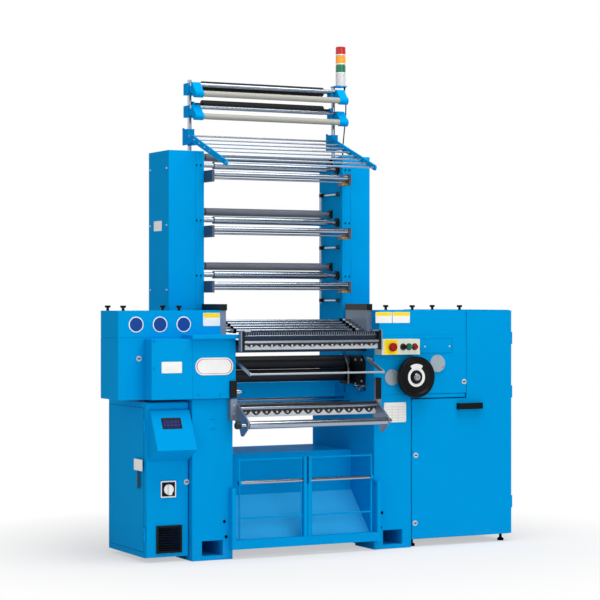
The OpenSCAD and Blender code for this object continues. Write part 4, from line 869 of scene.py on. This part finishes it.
class MACHINE_OT_round_signs(bpy.types.Operator):
    """Fix three bare round signs on the left lid."""

    bl_idname = "crochet.round_signs"
    bl_label = "Round signs"

    def execute(self, context):
        fittings = settings("fittings")
        first, pitch, up, rim = 0.088, 0.118, 0.344, fittings.sign_d * 0.06
        for i in range(3):
            bm = bmesh.new()
            place = facing(on_front("left_head", first + pitch * i, up), FRONT)
            add_plate(bm, circle(fittings.sign_d), fittings.plate_t, place, 0, rim, 1)
            piece(f"round_sign_{i + 1}", bm, ("white_plastic", "sign_plate"), "frame")
        return {"FINISHED"}


class MACHINE_OT_oval_plate(bpy.types.Operator):
    """Fix the bare oval plate with its thin red line on the front cover."""

    bl_idname = "crochet.oval_plate"
    bl_label = "Oval plate"

    def execute(self, context):
        fittings = settings("fittings")
        w, h = fittings.oval_w, fittings.oval_h
        across, up, margin, line, flat, steps = 0.3115, 0.149, 0.006, 0.0035, 0.001, 16
        place = facing(on_front("left_front_cover", across, up, cover_face()), FRONT)
        bm = bmesh.new()
        add_plate(bm, rectangle(w, h, h / 2 - flat, steps), fittings.plate_t, place, 0)
        inner_h = h - 2 * margin
        raised = place @ Matrix.Translation((0, 0, fittings.plate_t))
        outline = rectangle(w - 2 * margin, inner_h, inner_h / 2 - flat, steps)
        add_plate(bm, outline, fittings.plate_t * 0.3, raised, 1, line, 0)
        piece("oval_plate", bm, ("white_plastic", "red_line"), "frame")
        return {"FINISHED"}


class MACHINE_OT_labels(bpy.types.Operator):
    """Fix the bare label plates, the data plate and the finger pull below the cabinet's label."""

    bl_idname = "crochet.labels"
    bl_label = "Label plates"

    def execute(self, context):
        fittings = settings("fittings")
        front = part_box("right_frame")[0].y
        lid_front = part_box("left_head")[0].y
        tower_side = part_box("left_tower")[0].x
        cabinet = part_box("control_cabinet")[0]
        side, label_y = cabinet.x, cabinet.y + 0.07
        band, inset = 0.36, 0.002
        # Name, place, way, width, height, and share of the height that is a yellow band
        labels = (
            ("cover_label", on_front("left_front_cover", 0.099, 0.147, cover_face()), FRONT, 0.1, 0.052, 0.0),
            ("left_lid_label", on_front("left_head", 0.465, 0.3655, lid_front), FRONT, 0.086, 0.061, band),
            ("right_lid_label_1", on_front("right_frame", 0.0525, 1.1145, front), FRONT, 0.09, 0.053, band),
            ("right_lid_label_2", on_front("right_frame", 0.1495, 1.1145, front), FRONT, 0.096, 0.053, band),
            ("tower_label", (tower_side, middle("left_tower").y + 0.01, 1.553), LEFT, 0.095, 0.048, 0.0),
            ("cabinet_label", (side, label_y, 0.444), LEFT, 0.1, 0.052, 0.0),
        )
        for name, point, way, w, h, share in labels:
            bm = bmesh.new()
            place = facing(Vector(point), way)
            add_plate(bm, rectangle(w, h), fittings.plate_t, place, 0)
            if share > 0:
                strip = Matrix.Translation((0, h / 2 * (1 - share), fittings.plate_t))
                outline = rectangle(w - 2 * inset, h * share - inset, inset)
                add_plate(bm, outline, fittings.plate_t * 0.2, place @ strip, 1)
            piece(name, bm, ("white_plastic", "yellow_plate"), "frame")
        self.fix_data_plate(fittings, front)
        self.sink_pull(side, label_y)
        return {"FINISHED"}

    def fix_data_plate(self, fittings, front):
        """A riveted plate with plain lines."""
        w, h, corner, rivet_in = 0.122, 0.096, 0.006, 0.007
        place = facing(on_front("right_frame", 0.115, 0.6565, front), FRONT)
        bm = bmesh.new()
        add_plate(bm, rectangle(w, h, corner), fittings.plate_t, place, 0)
        for sx in (-1, 1):
            for sy in (-1, 1):
                spot = (sx * (w / 2 - rivet_in), sy * (h / 2 - rivet_in), fittings.plate_t)
                rivet = place @ Matrix.Translation(spot)
                add_lathe(bm, [(0.0025, 0), (0.002, 0.0009), (0, 0.0012)], rivet, 14, 1)
        field_w, field_h, drop, rows, columns = w - 0.022, h - 0.03, 0.006, 5, 3
        line, proud = 0.0009, 0.0002
        for i in range(rows + 1):
            row = Matrix.Translation((0, field_h * (i / rows - 0.5) - drop, fittings.plate_t))
            add_plate(bm, rectangle(field_w, line, line * 0.4, 1), proud, place @ row, 2)
        for i in range(columns + 1):
            column = Matrix.Translation((field_w * (i / columns - 0.5), -drop, fittings.plate_t))
            add_plate(bm, rectangle(line, field_h, line * 0.4, 1), proud, place @ column, 2)
        piece("data_plate", bm, ("white_plastic", "machined_steel", "plate_line"), "frame")

    def sink_pull(self, side, y):
        """Dark finger pull below the label on the control cabinet's side."""
        w, h, t, corner, rim, up = 0.022, 0.08, 0.0015, 0.01, 0.004, 0.375
        bm = bmesh.new()
        add_plate(bm, rectangle(w, h, corner, 6), t, facing(Vector((side, y, up)), LEFT), 0, rim, 1)
        piece("cabinet_pull", bm, ("black_metal", "black_plastic"), "frame")


class MACHINE_OT_fasteners(bpy.types.Operator):
    """Fit the quarter-turn locks, the screws and the bolts."""

    bl_idname = "crochet.fasteners"
    bl_label = "Locks and screws"

    def execute(self, context):
        self.fit_locks()
        self.fit_front_screws()
        self.fit_panel_screws()
        return {"FINISHED"}

    def fit_locks(self):
        """Round locks with a black key slot."""
        r = settings("fittings").lock_d / 2
        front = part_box("right_frame")[0].y
        door_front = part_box("vent_grille")[1].y
        locks = (
            ("left_head_lock", on_front("left_head", 0.102, 0.188), "frame"),
            ("right_head_lock", on_front("right_frame", 0.505, 0.798, front), "frame"),
            ("right_door_lock_1", on_front("right_door", 0.022, 0.405, front), "right_door"),
            ("right_door_lock_2", on_front("right_door", 0.018, 0.076, front), "right_door"),
            ("control_door_lock", on_front("touch_screen", 0.142, -0.247, door_front), "control_door"),
        )
        edge, rim, well, key_t = 0.002, 0.0035, 0.0015, 0.0026
        barrel = [(r, 0), (r, edge), (r * 0.86, rim), (r * 0.8, rim), (r * 0.74, well), (0, well)]
        for name, point, body in locks:
            bm = bmesh.new()
            place = facing(point, FRONT)
            add_lathe(bm, barrel, place)
            key = place @ Matrix.Translation((0, 0, well))
            add_plate(bm, rectangle(r * 1.1, r * 0.34, 0.001), key_t, key, 1)
            piece(name, bm, ("zinc", "black_metal"), body)

    def fit_front_screws(self):
        """Bolts and screws on the faces that look to the front."""
        leg_w = 0.205
        bolts = []
        for across, up in ((0.162, 0.176), (0.171, 0.105)):
            bolts.append(on_front("left_frame", across, up))
            bolts.append(on_front("right_frame", leg_w - across, up))
        self.screws("frame_bolts", "black_metal", 1.0, bolts)
        left, right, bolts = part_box("left_tower"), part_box("right_tower"), []
        for set_number in (1, 2, 3):
            z = middle(f"press_roller_{set_number}").z + 0.044
            for gap in (0.017, 0.039):
                bolts.append((left[1].x - gap, left[0].y, z))
                bolts.append((right[0].x + gap, left[0].y, z))
        self.screws("tower_screws", "black_metal", 0.55, bolts)
        low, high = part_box("rack_arms")
        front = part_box("left_frame")[0].y
        rail_in, left_proud, right_proud, bolts = 0.016, 0.034, 0.014, []
        for z in (0.673, 0.713):
            bolts.append((low.x + rail_in, front - left_proud, z))
            bolts.append((high.x - rail_in, front - right_proud, z))
        self.screws("rack_screws", "machined_steel", 0.7, bolts)
        spots = ((0.012, 0.146), (0.23, 0.02), (0.34, 0.02), (0.012, 0.27))
        bolts = [on_front("left_front_cover", across, up, cover_face()) for across, up in spots]
        self.screws("cover_screws", "painted_blue", 0.7, bolts)
        bolts = []
        for x, z, r in ((0.47, 0.826, 0.032), (0.725, 0.889, 0.036)):
            centre = Vector(plan(x, -0.006, z))
            for a in map(math.radians, (90, 210, 330)):
                bolts.append(centre + Vector((r * math.cos(a), 0, r * math.sin(a))))
        self.screws("disc_screws", "machined_steel", 0.5, bolts)

    def fit_panel_screws(self):
        """Screws of the left tower's side, bolts of the take-down plate and screws of the head's panel."""
        low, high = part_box("left_tower")
        edge_in = 0.022
        sides = (low.y + edge_in, high.y - edge_in)
        bolts = [(low.x, y, z) for z in (1.247, 1.555, 1.825) for y in sides]
        self.screws("tower_panel_screws", "zinc", 0.6, bolts, LEFT)
        spots = ((0.105, 0.908), (0.168, 0.908), (0.105, 0.806), (0.168, 0.79))
        self.screws("bearing_bolts", "machined_steel", 1.0, [plan(0.364, y, z) for y, z in spots], LEFT)
        self.screws("head_panel_screws", "zinc", 0.6, [plan(x, -0.002, 0.972) for x in (0.655, 0.795)])

    def screws(self, name, slot, scale, points, way=FRONT):
        """A group of like screws."""
        bm = bmesh.new()
        for point in points:
            self.add_screw(bm, facing(Vector(point), way), settings("fittings").screw_d * scale)
        piece(name, bm, (slot,), "frame")

    def add_screw(self, bm, place, size):
        """A socket screw on a washer."""
        r, washer, head, socket = size / 2, 0.0012, 0.0055, 0.003
        under = [(r * 1.35, 0), (r * 1.35, washer), (r, washer + 0.0002)]
        top = [(r, head - 0.001), (r * 0.86, head), (r * 0.5, head)]
        add_lathe(bm, under + top, place, 20)
        add_lathe(bm, [(r * 0.5, head), (r * 0.5, socket), (0, socket)], place, 6)


class MACHINE_OT_controls(bpy.types.Operator):
    """Add the handwheel's dial, the plates behind the main switch and the emergency stop, and button collars."""

    bl_idname = "crochet.controls"
    bl_label = "Dial and switch plates"

    def execute(self, context):
        self.add_dial()
        self.add_switch_plates()
        return {"FINISHED"}

    def add_dial(self):
        """White dial ring with a flag field at its top, and a bright cap on the hub."""
        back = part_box("handwheel")[1].y
        centre = middle("handwheel")
        place = facing(Vector((centre.x, back, centre.z)), FRONT)
        # Radii of ring and flag, height of the wheel's web, its rise towards the rim, and thickness
        inner, outer, flag, web, rise, t = 0.0335, 0.047, 0.064, 0.0152, 0.09, 0.001
        rim = web + (outer - inner) * rise
        bm = bmesh.new()
        add_ring(bm, [(inner, web), (inner, web + t), (outer, rim + t), (outer, rim)], place, 72)
        half, steps, lap = 33, 12, 0.001
        field = [(flag, -half + 2 * half * i / steps) for i in range(steps + 1)]
        field += [(outer - lap, half - 2 * half * i / steps) for i in range(steps + 1)]
        outline = [(r * math.sin(math.radians(a)), r * math.cos(math.radians(a))) for r, a in field]
        raised = place @ Matrix.Translation((0, 0, web + (flag - inner) * rise))
        add_sheet(bm, outline, t, raised)
        piece("dial_ring", bm, ("white_plastic",), "drive")
        bm = bmesh.new()
        hub = [(0.0128, 0.026), (0.0128, 0.0285), (0.016, 0.0285), (0.0175, 0.027), (0.0175, 0.026)]
        add_ring(bm, hub, place, 48)
        piece("hub_cap", bm, ("chrome_plate",), "drive")

    def add_switch_plates(self):
        """Plates behind the main switch and the emergency stop, and a collar round each push button."""
        door_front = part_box("vent_grille")[1].y
        knob, knob_foot = middle("main_switch_knob"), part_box("main_switch_knob")[0].z
        boss, up, width, t, rim = 0.004, 0.0245, 0.0755, 0.0004, 0.007
        place = facing(Vector((knob.x, door_front - boss, knob_foot + up)), FRONT)
        bm = bmesh.new()
        add_plate(bm, rectangle(width, width, 0.003), t, place, 0, rim, 1)
        piece("switch_plate", bm, ("white_plastic", "black_plastic"), "control_door")
        stop = middle("estop_button")
        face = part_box("control_box")[0].y
        w, h, t = 0.07, 0.074, 0.001
        bm = bmesh.new()
        add_plate(bm, rectangle(w, h), t, facing(Vector((stop.x, face, stop.z)), FRONT), 0)
        piece("estop_plate", bm, ("yellow_plate",), "frame")
        collar = [(0.0122, 0), (0.0162, 0), (0.0162, 0.0022), (0.0145, 0.004), (0.0122, 0.004)]
        for name in ("jog", "start", "stop"):
            button = middle(f"{name}_button")
            bm = bmesh.new()
            add_ring(bm, collar, facing(Vector((button.x, face, button.z)), FRONT), 36)
            piece(f"{name}_collar", bm, ("black_plastic",), "frame")


class MACHINE_OT_eyelets(bpy.types.Operator):
    """Press a porcelain ring into each eyelet of the two rows."""

    bl_idname = "crochet.eyelets"
    bl_label = "Eyelet rings"

    def execute(self, context):
        ring = [(0.0026, -0.002), (0.0026, 0.0006), (0.0036, 0.0014), (0.005, 0.0008), (0.005, -0.002)]
        for name, (start, end, y, z) in eyelet_rows().items():
            pitch = eyelet_pitch(start, end)
            bm = bmesh.new()
            for i in range(EYELET_COUNT):
                x = start + EYELET_MARGIN + pitch * (i + 0.5)
                add_ring(bm, ring, facing(Vector((x, y, z)), FRONT), 20)
            piece(name, bm, ("white_plastic",), "frame")
        return {"FINISHED"}


class MACHINE_OT_trim(bpy.types.Operator):
    """Fit the right head's sill, the shadow lines of two panels, the take-down plate's rim and the comb's webs."""

    bl_idname = "crochet.trim"
    bl_label = "Trim strips"

    def execute(self, context):
        self.fit_sill()
        self.draw_seams()
        self.edge_takedown_plate()
        self.fit_gussets()
        return {"FINISHED"}

    def fit_sill(self):
        """Folded strip that closes the slot between the right head and the door below it."""
        head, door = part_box("right_head"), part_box("right_door")
        gap, end_gap, depth, notch_up, corner = 0.0015, 0.002, 0.014, 0.681, 0.003
        low_z, high_z = door[0].z + notch_up + gap, head[0].z - gap
        start, end = door[0].x + end_gap, head[1].x - end_gap
        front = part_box("right_frame")[0].y
        centre = Vector(((start + end) / 2, front + depth + gap, (low_z + high_z) / 2))
        bm = bmesh.new()
        add_plate(bm, rectangle(end - start, high_z - low_z, corner), depth, facing(centre, FRONT))
        piece("head_sill", bm, ("painted_blue",), "frame")

    def draw_seams(self):
        """Shadow gaps round the control cabinet's side panel and the panel beside the control box."""
        low, high = Vector(plan(-0.791, 0.068, 0.047)), Vector(plan(-0.791, 0.486, 0.706))
        self.seam("side_panel_seam", low, high, LEFT, 0.0022, 0.0)
        low, high, width = Vector(plan(0.622, 0, 0.941)), Vector(plan(0.81, 0, 1.009)), 0.0012
        around = Vector((width / 2, 0, width / 2))
        self.seam("head_panel_seam", low - around, high + around, FRONT, width, width)

    def seam(self, name, low, high, way, width, lap):
        """A thin line along the four sides of a rectangle; its level sides lap over the upright ones."""
        proud, corner = 0.0004, width * 0.4
        place = facing((low + high) / 2, way)
        w, h = Vector((high.x - low.x, high.y - low.y)).length, high.z - low.z
        bm = bmesh.new()
        for side in (-1, 1):
            upright = place @ Matrix.Translation((side * w / 2, 0, 0))
            add_plate(bm, rectangle(width, h - lap, corner, 2), proud, upright)
            level = place @ Matrix.Translation((0, side * h / 2, 0))
            add_plate(bm, rectangle(w + lap, width, corner, 2), proud, level)
        piece(name, bm, ("seam_blue",), "frame")

    def edge_takedown_plate(self):
        """Bright rim on the round front of the take-down rollers' bearing plate."""
        upper, lower = middle("takedown_roller_1"), middle("takedown_roller_2")
        start, depth, t, r, steps = plan(0.337, 0, 0)[0], 0.007, 0.0016, 0.08, 14
        front, top, foot = upper.y - 0.049, upper.z + 0.032, lower.z - 0.045
        arc = [math.radians(90 + 90 * i / steps) for i in range(steps + 1)]
        points = [(a, front + r + r * math.cos(a), top - r + r * math.sin(a)) for a in arc]
        points.append((arc[-1], front, foot))
        bm = bmesh.new()
        rings = []
        for a, y, z in points:
            out, along = Vector((0, math.cos(a), math.sin(a))) * t, Vector((depth, 0, 0))
            inner = Vector((start, y, z))
            corners = (inner, inner + out, inner + out + along, inner + along)
            rings.append([bm.verts.new(corner) for corner in corners])
        skin(bm, rings)
        cap(bm, rings)
        piece("takedown_rim", bm, ("machined_steel",), "frame")

    def fit_gussets(self):
        """Webs between the comb's arms and the posts."""
        t, gap = 0.003, 0.0005
        corners = ((0.45, 2.004), (0.45, 1.942), (0.258, 1.936), (0.262, 1.944))
        # Local x to the back, local y up, local z to the right
        side_on = Matrix(((0, 0, 1, 0), (1, 0, 0, 0), (0, 1, 0, 0), (0, 0, 0, 1)))
        for name, x in (("comb_gusset_left", -0.406 + gap), ("comb_gusset_right", 0.37 - gap - t)):
            bm = bmesh.new()
            add_sheet(bm, corners, t, Matrix.Translation(plan(x, 0, 0)) @ side_on)
            piece(name, bm, ("painted_blue",), "frame")


class MACHINE_OT_needles(bpy.types.Operator):
    """Fit the bright rail and the needles' shanks on the front of the needle bar."""

    bl_idname = "crochet.needles"
    bl_label = "Needle rail and shanks"

    def execute(self, context):
        low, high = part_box("needle_bar")
        end_in, rail_r, rail_down = 0.003, 0.002, 0.017
        z = high.z - rail_down
        bm = bmesh.new()
        add_bar(bm, (low.x + end_in, low.y - rail_r, z), (high.x - end_in, low.y - rail_r, z), rail_r)
        piece("needle_rail", bm, ("chrome_plate",), "needle_bar")
        pitch, shank_r, tip = 0.012, 0.0009, 0.0015
        shank = Vector((0, 0, rail_down - rail_r - tip))
        count = int((high.x - low.x - 2 * end_in) / pitch)
        start = (low.x + high.x) / 2 - pitch * (count - 1) / 2
        bm = bmesh.new()
        for i in range(count):
            foot = Vector((start + pitch * i, low.y - shank_r, z + rail_r))
            add_bar(bm, foot, foot + shank, shank_r, 8)
        piece("needle_shanks", bm, ("machined_steel",), "needle_bar")
        return {"FINISHED"}


class MACHINE_OT_collars(bpy.types.Operator):
    """Clamp a black collar and a spring on both ends of each weft bar."""

    bl_idname = "crochet.collars"
    bl_label = "Weft bar collars"

    def execute(self, context):
        place_in, collar_l, collar_r, edge = 0.05, 0.014, 0.012, 0.001
        inner_x = 0.374 - place_in
        ends = ((plan(-inner_x, 0, 0)[0], RIGHT), (plan(inner_x, 0, 0)[0], LEFT))
        for i in range(1, 6):
            name = f"weft_bar_{i}"
            low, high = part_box(name)
            centre, r = middle(name), (high.z - low.z) / 2
            collar = [(r, 0), (collar_r - edge, 0), (collar_r, edge)]
            collar += [(collar_r, collar_l - edge), (collar_r - edge, collar_l), (r, collar_l)]
            bm = bmesh.new()
            for x, way in ends:
                place = facing(Vector((x, centre.y, centre.z)), way)
                add_ring(bm, collar, place, 28)
                self.wind_spring(bm, place, r)
            piece(f"{name}_collars", bm, ("black_metal", "machined_steel"), name)
        return {"FINISHED"}

    def wind_spring(self, bm, place, bar_r):
        """A coil spring on the bar, from the collar outwards."""
        turns, steps, sides, wire, span = 5, 20, 6, 0.0014, -0.02
        count, r = turns * steps, bar_r + wire
        round_wire = [2 * math.pi * k / sides for k in range(sides)]
        rings = []
        for i in range(count + 1):
            a = 2 * math.pi * i / steps
            out = Vector((math.cos(a), math.sin(a), 0))
            centre = out * r + Vector((0, 0, span * i / count))
            corners = [centre + (out * math.cos(t) + Vector(UP) * math.sin(t)) * wire for t in round_wire]
            rings.append([bm.verts.new(place @ corner) for corner in corners])
        skin(bm, rings, 1)
        cap(bm, rings, 1)


class MACHINE_OT_lamp_lead(bpy.types.Operator):
    """Hang the signal lamp's lead between its plate and the right tower."""

    bl_idname = "crochet.lamp_lead"
    bl_label = "Lamp lead"

    def execute(self, context):
        diameter = 0.006
        low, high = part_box("lamp_cable")
        drop = high.z - low.z
        x, y = low.x + diameter, low.y + diameter / 2
        # Way of the lead: sideways and back in millimetres, and down from its top in metres
        steps = [(0, 0, 0), (0, 0, 0.015), (1, 0, 0.030), (4, 0, 0.055), (7, 0, 0.085), (8, 1, 0.120)]
        steps += [(7, 3, 0.160), (4, 6, 0.200), (1, 9, 0.245)]
        steps += [(-2, 12, drop - 0.060), (-3, 14, drop - 0.025), (-3, 14, drop)]
        points = [Vector((x + dx * MM, y + dy * MM, high.z - down)) for dx, dy, down in steps]
        curve = bpy.data.curves.new("lamp_lead", "CURVE")
        curve.dimensions = "3D"
        curve.bevel_depth = diameter / 2
        curve.bevel_resolution = 4
        curve.use_fill_caps = True
        spline = curve.splines.new("BEZIER")
        spline.bezier_points.add(len(points) - 1)
        for knot, point in zip(spline.bezier_points, points):
            knot.co = point
            knot.handle_left_type = knot.handle_right_type = "AUTO"
        lead = bpy.data.objects.new("lamp_lead", curve)
        bpy.context.scene.collection.objects.link(lead)
        curve.materials.append(finish_of("black_plastic"))
        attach(lead, "frame")
        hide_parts("lamp_cable")
        gland = [(0.007, 0), (0.007, 0.004), (0.0048, 0.006), (0.0034, 0.022), (0.0031, 0.022)]
        for name, point, way in (("upper", points[0], DOWN), ("lower", points[-1], UP)):
            bm = bmesh.new()
            add_lathe(bm, gland, facing(point, way), 24)
            piece(f"lead_gland_{name}", bm, ("black_plastic",), "frame")
        return {"FINISHED"}


class MACHINE_PT_dressing(bpy.types.Panel):
    """Lists the steps of the dressing and the settings."""

    bl_idname = "MACHINE_PT_dressing"
    bl_label = "Crochet machine"
    bl_space_type = "VIEW_3D"
    bl_region_type = "UI"
    bl_category = "Crochet machine"

    def draw(self, context):
        for step in STEPS:
            self.layout.operator(step.bl_idname)
        for group in GROUPS:
            for name in GROUPS[group].__annotations__:
                self.layout.prop(settings(group), name)


STEPS = (
    MACHINE_OT_stage,
    MACHINE_OT_lamp_lead,
    MACHINE_OT_paint,
    MACHINE_OT_round_signs,
    MACHINE_OT_oval_plate,
    MACHINE_OT_labels,
    MACHINE_OT_fasteners,
    MACHINE_OT_controls,
    MACHINE_OT_eyelets,
    MACHINE_OT_trim,
    MACHINE_OT_needles,
    MACHINE_OT_collars,
)
GROUPS = {"paint": PaintSettings, "fittings": FittingSettings, "stage": StageSettings}
CLASSES = (*GROUPS.values(), *STEPS, MACHINE_PT_dressing)


def register():
    for kind in CLASSES:
        bpy.utils.register_class(kind)
    for name, group in GROUPS.items():
        setattr(bpy.types.Scene, "crochet_" + name, PointerProperty(type=group))


def unregister():
    for name in GROUPS:
        delattr(bpy.types.Scene, "crochet_" + name)
    for kind in reversed(CLASSES):
        bpy.utils.unregister_class(kind)


def main():
    """Dresses the machine step by step."""
    register()
    for step in STEPS:
        family, name = step.bl_idname.split(".")
        getattr(getattr(bpy.ops, family), name)()


if __name__ == "__main__":
    main()
